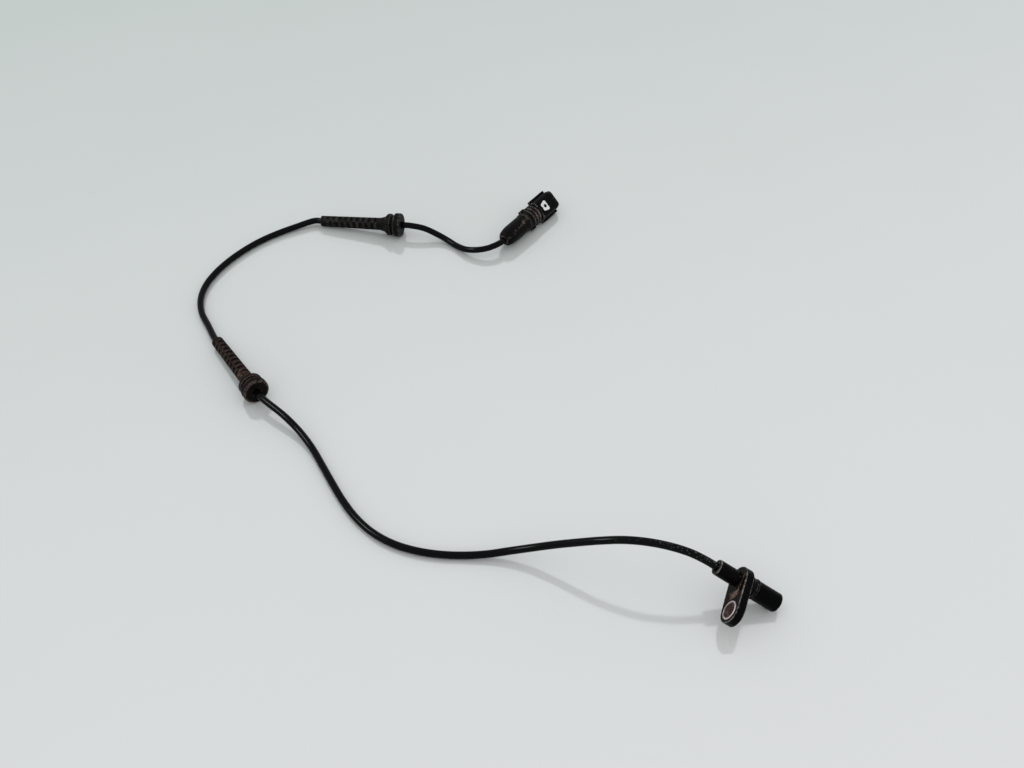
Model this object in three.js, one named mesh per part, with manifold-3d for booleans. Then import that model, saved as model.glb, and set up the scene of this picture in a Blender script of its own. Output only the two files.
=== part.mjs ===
// A car's wheel speed sensor with its lead: sensor head, cable, two rubber grommets and a two-way plug.
// Millimetres, +Z up. The head rests on the tip of its plunger, and everything else lies on the plane z = 0.
import * as THREE from 'three';
import { mergeVertices } from 'three/addons/utils/BufferGeometryUtils.js';
import Module from 'manifold-3d';

const wasm = await Module();
wasm.setup();

// Clearances
const fit = 0.3;
const cableFit = 0.3;
const restGap = 0.2;
const cutOver = 1;
const roundSides = 32;
const smallSides = 16;

// Sensor head, measured along its axis from the cable end
const barrelRadius = 5;
const barrelLength = 15.8;
const barrelFillet = 1.2;
const flangeThickness = 5.7;
const flangeBevel = 0.5;
const trunkOverlap = 1;
const bossRadius = 8.9;
const eyeRadius = 8.3;
const eyeReach = 20.7;
const bushingOuterRadius = 6;
const bushingInnerRadius = 4.6;
const bushingProud = 0.2;
const bushingChamfer = 0.4;
const neckRootRadius = 6.9;
const neckRootLength = 1.8;
const neckTaperLength = 2;
const neckRadius = 6.15;
const neckLength = 1.6;
const capRimRadius = 6.55;
const capRimLength = 1.1;
const capRadius = 6.2;
const capLength = 18.6;
const capWall = 0.8;
const capEndWall = 1.1;
const capChamfer = 0.8;
const spigotLength = 3.6;
const cableSeatDepth = 12;
const chamberRadius = 3.9;
const headTilt = THREE.MathUtils.degToRad(31);
const headRoll = THREE.MathUtils.degToRad(11);

// Pieces inside the head
const coreRadius = 0.8;
const coreOffset = 1.25;
const headCoreSpread = 1.9;
const headCoreLength = 7.4;
const coreRunIn = 1.6;
const crimpWall = 0.4;
const headCrimpLength = 4.5;
const leadWidth = 1.2;
const leadThickness = 0.4;
const carrierWidth = 5.6;
const carrierThickness = 2.5;
const carrierTop = 0.9;
const carrierHeadLength = 6.7;
const pocketWall = 0.5;
const chipSize = { length: 1.4, width: 4.8, height: 4 };
const magnetSize = { length: 3.1, width: 3.6, height: 3 };
const capacitorSize = { length: 2.4, width: 3.8, height: 1.6 };
const capacitorLeadOut = 1.1;

// Cable
const cableRadius = 2.5;
const cableSides = 10;
const cableSteps = 62;
const straightExit = 8;
const grommetLeadOut = 6;
const plugLeadIn = 2;

// Grommets, measured from the disc's face to the small end
const grommetLength = 70;
const discThickness = 6;
const discRadius = 9.6;
const discRounding = 1.6;
const grooveWidth = 2.5;
const grooveRadius = 7;
const ringThickness = 3;
const ringRadius = 8.9;
const coneLength = 7;
const coneHollow = 0.5;
const grommetChamfer = 0.5;
const sleeveRootRadius = 5.1;
const sleeveEndRadius = 4.4;
const slotWidth = 1.3;
const slotPitch = 2.6;
const slotFloor = 3.7;
const slotEndMargin = 3.4;
const lowerGrommetPlace = { x: -354, y: 88, headingDegrees: 139.5, rollDegrees: 15 };
const upperGrommetPlace = { x: -316.5, y: 296, headingDegrees: 184.5, rollDegrees: 0 };

// Plug, measured along its axis from the cable end
const coverRadius = 7.6;
const coverLength = 30;
const coverCollarRadius = 4.1;
const coverCollarLength = 1.2;
const coverShoulder = 0.3;
const coverDomeLength = 11;
const coverDomeSteps = 6;
const coverLip = 0.4;
const coverLipLength = 1.6;
const coverThroatLength = 13;
const coverBoreRadius = 6.1;
const plugSpigotLength = 11;
const neckHalfWidth = 7.4;
const neckRibHeight = 0.7;
const neckRibWidth = 1.3;
const neckRibPitch = 3.7;
const neckRibSetback = 3;
const neckRibCount = 3;
const plugNeckLength = 15;
const blockWidth = 17;
const blockHeight = 13.2;
const blockCorner = 4;
const blockLength = 20.6;
const noseWidth = 15.6;
const noseHeight = 11.8;
const noseLength = 2.6;
const railWidth = 21.5;
const railThickness = 2.2;
const lugSetback = 0.6;
const lugLength = 5.4;
const lugWidth = 19;
const lugThickness = 3;
const armWidth = 1.2;
const mouthWidth = 11;
const mouthHeight = 9.2;
const mouthDepth = 12.5;
const mouthFloor = 1.6;
const mouthCorner = 1.5;
const insertLength = 6.8;
const insertFrontWidth = 8.8;
const insertRearWidth = 6.8;
const insertCorner = 1.5;
const insertNotch = 0.7;
const insertThickness = 1;
const insertProud = 0.1;
const insertSetback = 13.1;
const insertHoleRadius = 1.5;
const insertHoleLead = 0.4;
const insertPostDrop = 0.3;
const cavityRadius = 2.4;
const cavitySpacing = 5.8;
const sealLength = 5;
const sealRib = 0.35;
const sealRibWidth = 0.9;
const sealRibSlope = 0.2;
const sealRibCount = 3;
const sealSetback = 1;
const sealRunIn = 1.5;
const pinWidth = 1.5;
const pinThickness = 0.8;
const pinRecess = 6;
const pinBodyLength = 8;
const pinBodySide = 2.6;
const pinCrimpLength = 6;
const plugPlace = { x: -230.1, y: 299.1, headingDegrees: 68.7, rollDegrees: 42 };
const ventRadius = 0.8;
const ventDepth = 1.5;
const ventStation = 26.5;

// The cable's route between the pieces on it, chosen by hand
const groundHeight = cableRadius + restGap;
const archRoute = [
  [-37, 9.6, 37.2], [-50, 9, 40], [-64, 8.4, 40.2], [-77, 8, 37.8], [-90, 7.5, 33.2], [-104, 7.4, 26.5],
  [-118, 7.2, 19.4], [-132, 6.2, 12.6], [-146, 3.8, 7.4], [-160, 0, 4], [-175, -4, groundHeight],
  [-191, -7.2, groundHeight], [-207, -8, groundHeight], [-222, -6.2, groundHeight], [-237, -1, groundHeight],
  [-251, 7.5, groundHeight], [-264, 18.5, groundHeight], [-276, 30.5, groundHeight], [-288, 43, groundHeight],
  [-300, 55, 3.2], [-313, 65, 5.4], [-327, 73, 8.4],
];
const loopRoute = [
  [-422, 148.5, 3.2], [-434, 161.5, groundHeight], [-441.5, 175, groundHeight], [-445, 190, groundHeight],
  [-444.5, 206, groundHeight], [-441, 222, groundHeight], [-435, 238, groundHeight], [-426.5, 254, groundHeight],
  [-416, 268, groundHeight], [-404.5, 279.5, 3.2],
];
const plugRoute = [
  [-298, 297.6, 9], [-288, 297.2, 6], [-278, 294.9, 3.6], [-268.2, 290.4, groundHeight], [-258.9, 285.9, 4.2],
  [-249.3, 284.8, 6.3], [-240.8, 287.1, 7.9], [-234.4, 292, 8.9],
];

const finish = (color, roughness, metalness = 0) =>
  new THREE.MeshStandardMaterial({ color, roughness, metalness });
const blackNylon = finish(0x26241f, 0.6);
const capPlastic = finish(0x141516, 0.45);
const zincSteel = finish(0x8c817c, 0.5, 0.8);
const innerPlastic = finish(0x3b3d40, 0.6);
const chipResin = finish(0x1c1c1e, 0.4);
const magnetMetal = finish(0x5b5d60, 0.4, 0.9);
const ceramic = finish(0xb89a6a, 0.5);
const tinnedBrass = finish(0xb9a262, 0.35, 0.9);
const copperCrimp = finish(0xa66a44, 0.4, 0.9);
const coreSignalJacket = finish(0x2f5d8c, 0.5);
const coreSupplyJacket = finish(0x6b3a2a, 0.5);
const cableJacket = finish(0x121314, 0.35);
const grommetRubber = finish(0x3a3431, 0.75);
const coverRubber = finish(0x413833, 0.7);
const plugPlastic = finish(0x1b1b1c, 0.5);
const whitePlastic = finish(0xf2f2ee, 0.5);
const sealRubber = finish(0x7a3b2e, 0.6);

// A closed geometry as a solid for joins and cuts
function solid(geometry) {
  const bare = geometry.clone();
  for (const name of Object.keys(bare.attributes)) {
    if (name !== 'position') bare.deleteAttribute(name);
  }
  const merged = mergeVertices(bare, 1e-4);
  return new wasm.Manifold(new wasm.Mesh({
    numProp: 3,
    vertProperties: new Float32Array(merged.attributes.position.array),
    triVerts: new Uint32Array(merged.index.array),
  }));
}

// A solid's surface as a geometry again
function surface(body) {
  const mesh = body.getMesh();
  const geometry = new THREE.BufferGeometry();
  geometry.setAttribute('position', new THREE.BufferAttribute(new Float32Array(mesh.vertProperties), 3));
  geometry.setIndex(new THREE.BufferAttribute(new Uint32Array(mesh.triVerts), 1));
  geometry.computeVertexNormals();
  return geometry;
}

const join = (bodies) => bodies.reduce((whole, body) => whole.add(body));
const cut = (body, tools) => tools.reduce((rest, tool) => rest.subtract(tool), body);

// A body of revolution about X from [station, radius] points
function turned(profile, sides = roundSides) {
  const points = profile.map(([station, radius]) => new THREE.Vector2(radius, station));
  return new THREE.LatheGeometry(points, sides).rotateZ(-Math.PI / 2);
}

// A plain rod along X
function rod(from, to, radius, sides = roundSides) {
  return turned([[from, 0], [from, radius], [to, radius], [to, 0]], sides);
}

// A sleeve along X
function sleeve(from, to, inner, outer, sides = smallSides) {
  return turned([[from, inner], [from, outer], [to, outer], [to, inner], [from, inner]], sides);
}

// A box between two corners
function block([x0, y0, z0], [x1, y1, z1]) {
  return new THREE.BoxGeometry(x1 - x0, y1 - y0, z1 - z0).translate((x0 + x1) / 2, (y0 + y1) / 2, (z0 + z1) / 2);
}

// A beam along X, centred on a line beside the axis
function beam(from, to, width, height, y = 0) {
  return block([from, y - width / 2, -height / 2], [to, y + width / 2, height / 2]);
}

// An outline in the Y and Z plane carried along X
function extruded(shape, from, to, options = {}) {
  const plain = { depth: to - from, bevelEnabled: false, curveSegments: 10 };
  const geometry = new THREE.ExtrudeGeometry(shape, { ...plain, ...options });
  return geometry.rotateY(Math.PI / 2).rotateX(Math.PI / 2).translate(from, 0, 0);
}

// A rectangle with round corners, centred on the axis
function roundedRectangle(width, height, corner) {
  const [w, h] = [width / 2, height / 2];
  const shape = new THREE.Shape();
  shape.moveTo(corner - w, -h).lineTo(w - corner, -h).absarc(w - corner, corner - h, corner, -Math.PI / 2, 0);
  shape.lineTo(w, h - corner).absarc(w - corner, h - corner, corner, 0, Math.PI / 2);
  shape.lineTo(corner - w, h).absarc(corner - w, h - corner, corner, Math.PI / 2, Math.PI);
  shape.lineTo(-w, corner - h).absarc(corner - w, corner - h, corner, Math.PI, Math.PI * 1.5);
  return shape;
}

// A round wire of one radius along a list of points
function wire(points, radius, sides, steps) {
  const section = new THREE.Shape();
  for (let i = 0; i < sides; i += 1) {
    const angle = (i / sides) * Math.PI * 2;
    section[i ? 'lineTo' : 'moveTo'](radius * Math.cos(angle), radius * Math.sin(angle));
  }
  const path = new THREE.CatmullRomCurve3(points, false, 'centripetal');
  return new THREE.ExtrudeGeometry(section, { steps, extrudePath: path, bevelEnabled: false });
}

function part(name, geometry, material) {
  const mesh = new THREE.Mesh(geometry, material);
  mesh.name = name;
  return mesh;
}

// Stations along the head's axis
const flangeStart = barrelLength;
const flangeEnd = flangeStart + flangeThickness;
const neckStart = flangeEnd + neckRootLength + neckTaperLength;
const capStart = neckStart + neckLength + fit;
const capEnd = capStart + capLength;
const spigotStart = neckStart + neckLength;
const carrierEnd = capEnd - capEndWall - fit;
const chipStart = carrierEnd - fit - chipSize.length;
const magnetEnd = chipStart - 2 * fit - pocketWall;
const carrierHeadStart = carrierEnd - carrierHeadLength;
const headCoreStart = cableSeatDepth + fit;
const headCoreEnd = headCoreStart + headCoreLength;
const crimpRadius = coreRadius + cableFit + crimpWall;
const headCrimpEnd = headCoreEnd + 2 * fit;
const headCrimpStart = headCrimpEnd - headCrimpLength;
const leadStart = headCrimpEnd + fit;
const leadBottom = carrierTop + fit;

function makeHead() {
  const head = new THREE.Group();
  head.rotation.set(headRoll, headTilt, 0, 'YXZ');

  // The flange's outline: a boss round the axis and an eye at the end of the lobe, joined by straight flanks
  const lean = Math.asin((bossRadius - eyeRadius) / eyeReach);
  const outline = new THREE.Shape();
  outline.absarc(0, 0, bossRadius, lean - Math.PI / 2, Math.PI / 2 - lean, false);
  outline.absarc(-eyeReach, 0, eyeRadius, Math.PI / 2 - lean, Math.PI * 1.5 + lean, false);
  const flange = extruded(outline, flangeStart + flangeBevel, flangeEnd - flangeBevel, {
    bevelEnabled: true,
    bevelThickness: flangeBevel,
    bevelSize: flangeBevel,
    bevelOffset: -flangeBevel,
    bevelSegments: 1,
  });
  const trunk = turned([
    [0, 0], [0, barrelRadius - barrelFillet], [barrelFillet * 0.3, barrelRadius - barrelFillet * 0.3],
    [barrelFillet, barrelRadius], [flangeStart + trunkOverlap, barrelRadius],
    [flangeEnd - trunkOverlap, neckRootRadius],
    [flangeEnd + neckRootLength, neckRootRadius], [neckStart, neckRadius], [spigotStart, neckRadius],
    [spigotStart, capRadius - capWall - fit], [spigotStart + spigotLength, capRadius - capWall - fit],
    [spigotStart + spigotLength, 0],
  ]);
  const eyeHole = rod(flangeStart - cutOver, flangeEnd + cutOver, bushingOuterRadius + fit);
  eyeHole.translate(0, -eyeReach, 0);
  const body = cut(join([solid(trunk), solid(flange)]), [
    solid(eyeHole),
    solid(rod(-cutOver, cableSeatDepth + fit, cableRadius + cableFit)),
    solid(rod(cableSeatDepth, spigotStart + spigotLength + cutOver, chamberRadius)),
  ]);
  head.add(part('sensor_body', surface(body), blackNylon));

  const capInner = capRadius - capWall;
  const cap = turned([
    [capEnd - capEndWall, 0], [capEnd - capEndWall, capInner], [capStart, capInner], [capStart, capRimRadius],
    [capStart + capRimLength, capRimRadius], [capStart + capRimLength, capRadius], [capEnd - capChamfer, capRadius],
    [capEnd, capRadius - capChamfer], [capEnd, 0],
  ]);
  head.add(part('plunger_cap', cap, capPlastic));

  const [bushingFrom, bushingTo] = [flangeStart - bushingProud, flangeEnd + bushingProud];
  const bushing = turned([
    [bushingFrom, bushingInnerRadius + bushingChamfer], [bushingFrom, bushingOuterRadius],
    [bushingTo, bushingOuterRadius], [bushingTo, bushingInnerRadius + bushingChamfer],
    [bushingTo - bushingChamfer, bushingInnerRadius], [bushingFrom + bushingChamfer, bushingInnerRadius],
    [bushingFrom, bushingInnerRadius + bushingChamfer],
  ]).translate(0, -eyeReach, 0);
  head.add(part('mounting_bushing', bushing, zincSteel));

  addHeadInsides(head);
  return head;
}

function addHeadInsides(head) {
  const halfWidth = carrierWidth / 2;
  const tail = block(
    [leadStart, -halfWidth, carrierTop - carrierThickness],
    [carrierHeadStart + cutOver, halfWidth, carrierTop],
  );
  const drum = rod(carrierHeadStart, carrierEnd, capRadius - capWall - fit);
  const pocket = block(
    [magnetEnd - magnetSize.length - fit, -magnetSize.width / 2 - fit, -capRadius],
    [magnetEnd + fit, magnetSize.width / 2 + fit, carrierTop - fit],
  );
  const window = block(
    [chipStart - fit, -chipSize.width / 2 - fit, -chipSize.height / 2 - fit],
    [carrierEnd + cutOver, chipSize.width / 2 + fit, chipSize.height / 2 + fit],
  );
  const leadTrack = block(
    [carrierHeadStart - cutOver, -halfWidth, carrierTop],
    [chipStart, halfWidth, leadBottom + leadThickness + fit],
  );
  const carrier = cut(join([solid(tail), solid(drum)]), [solid(pocket), solid(window), solid(leadTrack)]);
  head.add(part('element_carrier', surface(carrier), innerPlastic));

  head.add(part('sensing_chip', block(
    [chipStart, -chipSize.width / 2, -chipSize.height / 2],
    [chipStart + chipSize.length, chipSize.width / 2, chipSize.height / 2],
  ), chipResin));
  head.add(part('bias_magnet', block(
    [magnetEnd - magnetSize.length, -magnetSize.width / 2, carrierTop - 2 * fit - magnetSize.height],
    [magnetEnd, magnetSize.width / 2, carrierTop - 2 * fit],
  ), magnetMetal));

  const capacitorStart = spigotStart + spigotLength + capacitorLeadOut;
  const capacitorBottom = leadBottom + leadThickness + fit;
  head.add(part('suppression_capacitor', block(
    [capacitorStart, -capacitorSize.width / 2, capacitorBottom],
    [capacitorStart + capacitorSize.length, capacitorSize.width / 2, capacitorBottom + capacitorSize.height],
  ), ceramic));

  const sides = [['signal', 1, coreSignalJacket], ['supply', -1, coreSupplyJacket]];
  for (const [name, side, jacket] of sides) {
    const y = side * headCoreSpread;
    const lead = block(
      [leadStart, y - leadWidth / 2, leadBottom],
      [chipStart - fit, y + leadWidth / 2, leadBottom + leadThickness],
    );
    head.add(part(`lead_${name}`, lead, tinnedBrass));
    const crimp = sleeve(headCrimpStart, headCrimpEnd, coreRadius + cableFit, crimpRadius).translate(0, y, 0);
    head.add(part(`head_crimp_${name}`, crimp, copperCrimp));
    const core = wire([
      new THREE.Vector3(headCoreStart, side * coreOffset, 0),
      new THREE.Vector3(headCoreStart + coreRunIn, y * 0.9, 0),
      new THREE.Vector3(headCrimpStart, y, 0), new THREE.Vector3(headCoreEnd, y, 0),
    ], coreRadius, 8, 8);
    head.add(part(`head_core_${name}`, core, jacket));
  }
}

// One grommet: disc, bracket groove, ring, cone and a slotted sleeve
function grommetBody() {
  const ringStart = discThickness + grooveWidth;
  const coneStart = ringStart + ringThickness;
  const sleeveStart = coneStart + coneLength;
  const outer = turned([
    [0, 0], [0, discRadius - discRounding * 1.6], [discRounding * 0.4, discRadius - discRounding * 0.5],
    [discRounding, discRadius], [discThickness - discRounding, discRadius],
    [discThickness, discRadius - discRounding * 0.6], [discThickness, grooveRadius], [ringStart, grooveRadius],
    [ringStart, ringRadius - grommetChamfer], [ringStart + grommetChamfer, ringRadius], [coneStart, ringRadius],
    [coneStart + coneLength * 0.35, (ringRadius + sleeveRootRadius) / 2 - coneHollow],
    [sleeveStart, sleeveRootRadius], [grommetLength - grommetChamfer, sleeveEndRadius],
    [grommetLength, sleeveEndRadius - grommetChamfer], [grommetLength, 0],
  ]);
  const bore = rod(-cutOver, grommetLength + cutOver, cableRadius + cableFit, 20);
  const slots = [];
  const reach = sleeveRootRadius + cutOver;
  let quarter = 0;
  for (let x = sleeveStart + slotEndMargin; x < grommetLength - slotEndMargin; x += slotPitch) {
    for (const side of [-1, 1]) {
      const [low, high] = side > 0 ? [slotFloor, reach] : [-reach, -slotFloor];
      const slot = block([x - slotWidth / 2, -reach, low], [x + slotWidth / 2, reach, high]);
      slots.push(solid(slot.rotateX(quarter * Math.PI / 2)));
    }
    quarter = 1 - quarter;
  }
  return surface(cut(solid(outer), [solid(bore), ...slots]));
}

// A grommet lies on its disc's rim and the rim of its small end
const grommetSlope = Math.asin((discRadius - sleeveEndRadius) / (grommetLength - discThickness / 2));

function makeGrommet(name, place) {
  const frame = new THREE.Group();
  frame.add(part(name, grommetBody(), grommetRubber));
  return lay(frame, place, grommetSlope);
}

// Turns a group about the upright, slopes and rolls it, and lays it on the plane z = 0 at its place
function lay(group, { x, y, headingDegrees, rollDegrees }, slope) {
  const [heading, roll] = [headingDegrees, rollDegrees].map(THREE.MathUtils.degToRad);
  group.rotation.set(roll, slope, heading, 'ZYX');
  settle(group);
  group.position.x = x;
  group.position.y = y;
  group.updateMatrixWorld(true);
  return group;
}

// Moves a group up or down so that its lowest point is on the plane z = 0
function settle(group) {
  group.updateMatrixWorld(true);
  const box = new THREE.Box3().setFromObject(group, true);
  group.position.z -= box.min.z;
  group.updateMatrixWorld(true);
}

// Stations along the plug's axis
const coverEnd = coverLength;
const spigotFrom = coverEnd - plugSpigotLength;
const neckFrom = coverEnd + fit;
const blockFrom = neckFrom + plugNeckLength;
const blockTo = blockFrom + blockLength;
const noseTo = blockTo + noseLength;
const mouthFrom = noseTo - mouthDepth;
const cavityTo = mouthFrom - mouthFloor;
const sealFrom = spigotFrom + sealSetback;
const pinBodyTo = cavityTo - fit;
const pinBodyFrom = pinBodyTo - pinBodyLength;
const pinCrimpTo = pinBodyFrom;
const pinCrimpFrom = pinCrimpTo - pinCrimpLength;
const jacketEnd = coverThroatLength - fit;
const insertStation = blockTo - insertSetback;

function makePlug() {
  const plug = new THREE.Group();
  plug.add(part('rear_cover', rearCover(), coverRubber));
  plug.add(part('plug_housing', plugHousing(), plugPlastic));
  const ring = cut(insertBody(0), [insertPost(insertHoleRadius, 0, blockHeight)]);
  plug.add(part('lock_insert', surface(ring), whitePlastic));
  addPlugInsides(plug);
  return lay(plug, plugPlace, 0);
}

function rearCover() {
  // A quarter ellipse from the shoulder of the collar up to the full radius
  const dome = [];
  for (let i = 0; i <= coverDomeSteps; i += 1) {
    const angle = (i / coverDomeSteps) * (Math.PI / 2);
    const rise = coverRadius - coverCollarRadius - coverShoulder;
    dome.push([
      coverCollarLength + coverDomeLength * (1 - Math.cos(angle)),
      coverCollarRadius + coverShoulder + rise * Math.sin(angle),
    ]);
  }
  const shell = turned([
    [0, cableRadius + cableFit], [0, coverCollarRadius], ...dome, [coverEnd - coverLipLength, coverRadius],
    [coverEnd - coverLipLength, coverRadius + coverLip], [coverEnd, coverRadius + coverLip],
    [coverEnd, coverBoreRadius], [coverThroatLength, coverBoreRadius],
    [coverThroatLength, cableRadius + cableFit], [0, cableRadius + cableFit],
  ]);
  const vent = rod(0, ventDepth + cutOver, ventRadius, 12).rotateY(-Math.PI / 2)
    .translate(ventStation, 0, coverRadius - ventDepth - coverLip);
  return surface(cut(solid(shell), [solid(vent)]));
}

// The lock ring's plate, widest towards the nose and notched at its rear, or its pocket when it is grown
function insertBody(grow) {
  const length = insertLength / 2 + grow;
  const front = insertFrontWidth / 2 + grow;
  const rear = insertRearWidth / 2 + grow;
  const corner = insertCorner + grow;
  const shape = new THREE.Shape();
  shape.moveTo(insertNotch - length, 0).quadraticCurveTo(-length, 0, -length, rear - corner);
  shape.quadraticCurveTo(-length, rear, corner - length, rear);
  shape.lineTo(length - corner, front).quadraticCurveTo(length, front, length, front - corner);
  shape.lineTo(length, corner - front).quadraticCurveTo(length, -front, length - corner, -front);
  shape.lineTo(corner - length, -rear).quadraticCurveTo(-length, -rear, -length, corner - rear);
  shape.quadraticCurveTo(-length, 0, insertNotch - length, 0);
  const top = blockHeight / 2 + (grow ? cutOver : insertProud);
  const bottom = blockHeight / 2 - insertThickness - grow;
  const plate = new THREE.ExtrudeGeometry(shape, { depth: top - bottom, bevelEnabled: false, curveSegments: 6 });
  return solid(plate.translate(insertStation, 0, bottom));
}

// An upright pin where the lock ring's hole is
function insertPost(radius, from, to) {
  return solid(rod(from, to, radius, 16).rotateY(-Math.PI / 2).translate(insertStation + insertHoleLead, 0, 0));
}

function plugHousing() {
  const pieces = [
    solid(rod(spigotFrom, neckFrom + cutOver, coverBoreRadius - fit)),
    solid(rod(neckFrom, blockFrom + cutOver, neckHalfWidth)),
    solid(extruded(roundedRectangle(blockWidth, blockHeight, blockCorner), blockFrom, blockTo)),
    solid(extruded(roundedRectangle(noseWidth, noseHeight, blockCorner), blockTo - cutOver, noseTo)),
    solid(beam(blockFrom, blockTo, railWidth, railThickness)),
    solid(beam(neckFrom + lugSetback, neckFrom + lugSetback + lugLength, lugWidth, lugThickness)),
    solid(beam(neckFrom + lugSetback, blockFrom + cutOver, 2 * (neckHalfWidth + armWidth), armWidth)),
  ];
  for (let i = 0; i < neckRibCount; i += 1) {
    const middle = blockFrom - neckRibSetback - neckRibPitch * i;
    pieces.push(solid(rod(middle - neckRibWidth / 2, middle + neckRibWidth / 2, neckHalfWidth + neckRibHeight)));
  }
  const tools = [
    solid(extruded(roundedRectangle(mouthWidth, mouthHeight, mouthCorner), mouthFrom, noseTo + cutOver)),
    insertBody(fit),
  ];
  for (const side of [-1, 1]) {
    const y = side * cavitySpacing / 2;
    tools.push(solid(rod(spigotFrom - cutOver, cavityTo, cavityRadius, 20).translate(0, y, 0)));
    tools.push(solid(beam(cavityTo - cutOver, mouthFrom + cutOver, pinWidth + 2 * fit, pinThickness + 2 * fit, y)));
  }
  const top = blockHeight / 2;
  const post = insertPost(insertHoleRadius - fit, top - insertThickness - 2 * fit, top - insertPostDrop);
  return surface(cut(join(pieces), tools).add(post));
}

function addPlugInsides(plug) {
  const sides = [['signal', 1, coreSignalJacket], ['supply', -1, coreSupplyJacket]];
  for (const [name, side, jacket] of sides) {
    const y = side * cavitySpacing / 2;
    const pin = join([
      solid(beam(pinBodyFrom, pinBodyTo, pinBodySide, pinBodySide, y)),
      solid(beam(pinBodyTo - cutOver, noseTo - pinRecess, pinWidth, pinThickness, y)),
      solid(rod(pinCrimpFrom, pinBodyFrom + cutOver, crimpRadius, smallSides).translate(0, y, 0)),
    ]);
    const crimpBore = rod(pinCrimpFrom - cutOver, pinCrimpTo, coreRadius + cableFit, smallSides);
    plug.add(part(`pin_${name}`, surface(cut(pin, [solid(crimpBore.translate(0, y, 0))])), tinnedBrass));

    const outer = cavityRadius - fit;
    const inner = coreRadius + cableFit;
    const low = outer - sealRib;
    const sealTo = sealFrom + sealLength;
    const sealProfile = [[sealFrom, inner], [sealFrom, low]];
    for (let i = 0; i < sealRibCount; i += 1) {
      const start = sealFrom + (i + 0.25) * sealLength / sealRibCount;
      const end = start + sealRibWidth;
      sealProfile.push([start, low], [start + sealRibSlope, outer], [end - sealRibSlope, outer], [end, low]);
    }
    sealProfile.push([sealTo, low], [sealTo, inner], [sealFrom, inner]);
    plug.add(part(`wire_seal_${name}`, turned(sealProfile, 20).translate(0, y, 0), sealRubber));

    const core = wire([
      new THREE.Vector3(jacketEnd + fit, side * coreOffset, 0),
      new THREE.Vector3(jacketEnd + coreRunIn, side * coreOffset * 1.4, 0),
      new THREE.Vector3(sealFrom - sealRunIn, y, 0), new THREE.Vector3(sealFrom, y, 0),
      new THREE.Vector3(sealTo, y, 0), new THREE.Vector3(pinCrimpTo - fit, y, 0),
    ], coreRadius, 8, 20);
    plug.add(part(`plug_core_${name}`, core, jacket));
  }
}

// A point on a group's own X axis, in the part's frame
const onAxis = (group, station) => group.localToWorld(new THREE.Vector3(station, 0, 0));

function makeCable(head, grommets, plug) {
  const stations = [grommetLength + grommetLeadOut, grommetLength, grommetLength / 2, 0, -grommetLeadOut];
  const through = (group) => stations.map((x) => onAxis(group, x));
  const places = (route) => route.map((point) => new THREE.Vector3(...point));
  const [lower, upper] = grommets;
  const points = [
    ...[cableSeatDepth, cableSeatDepth / 2, 0, -straightExit].map((x) => onAxis(head, x)),
    ...places(archRoute), ...through(lower).reverse(),
    ...places(loopRoute), ...through(upper),
    ...places(plugRoute), ...[-plugLeadIn, 0, jacketEnd / 2, jacketEnd].map((x) => onAxis(plug, x)),
  ];
  return part('cable', wire(points, cableRadius, cableSides, cableSteps), cableJacket);
}

const sensor = new THREE.Group();
const head = makeHead();
settle(head);
const headBox = new THREE.Box3().setFromObject(head, true);
head.position.x -= (headBox.min.x + headBox.max.x) / 2;
head.position.y -= (headBox.min.y + headBox.max.y) / 2;
head.updateMatrixWorld(true);
const grommets = [
  makeGrommet('grommet_lower', lowerGrommetPlace),
  makeGrommet('grommet_upper', upperGrommetPlace),
];
const plug = makePlug();
sensor.add(head, ...grommets, plug, makeCable(head, grommets, plug));

export default sensor;
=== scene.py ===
"""A wheel speed sensor with its lead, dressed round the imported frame.

Every shape is worked out in millimetres in the axes of its own assembly and then placed in the row frame in metres.
"""

import logging
import math
from dataclasses import dataclass, field
from enum import Enum
from typing import Callable, Optional, Sequence, Union

import bpy
import numpy as np
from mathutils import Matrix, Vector


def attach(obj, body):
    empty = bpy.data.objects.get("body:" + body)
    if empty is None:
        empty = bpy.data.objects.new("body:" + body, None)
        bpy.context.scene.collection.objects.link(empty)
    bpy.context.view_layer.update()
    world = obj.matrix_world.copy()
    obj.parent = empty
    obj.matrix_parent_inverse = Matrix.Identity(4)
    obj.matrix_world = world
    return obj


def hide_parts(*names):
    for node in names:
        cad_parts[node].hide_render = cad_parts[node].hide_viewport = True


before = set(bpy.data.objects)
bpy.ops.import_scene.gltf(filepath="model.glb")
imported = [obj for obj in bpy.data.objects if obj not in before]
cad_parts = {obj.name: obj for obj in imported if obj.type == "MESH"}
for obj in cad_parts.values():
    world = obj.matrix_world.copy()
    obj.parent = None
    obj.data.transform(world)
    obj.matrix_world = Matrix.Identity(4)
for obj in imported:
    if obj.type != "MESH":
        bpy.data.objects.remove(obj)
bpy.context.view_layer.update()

log = logging.getLogger("sensor")

MM = 0.001
ROOT = "root"

CABLE_RADIUS = 2.5
CABLE_BORE = 2.8
SEAT_DEPTH = 12.0
STRAIGHT_EXIT = 8.0
GROMMET_LENGTH = 70.0
GROMMET_LEAD_OUT = 6.0
PLUG_LEAD_IN = 2.0
JACKET_END = 12.7

# Two skins of one piece run this far into each other, and a crease sharper than this angle, in degrees, stays sharp
SUNK = 0.1
CREASE = 38.0

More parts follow.
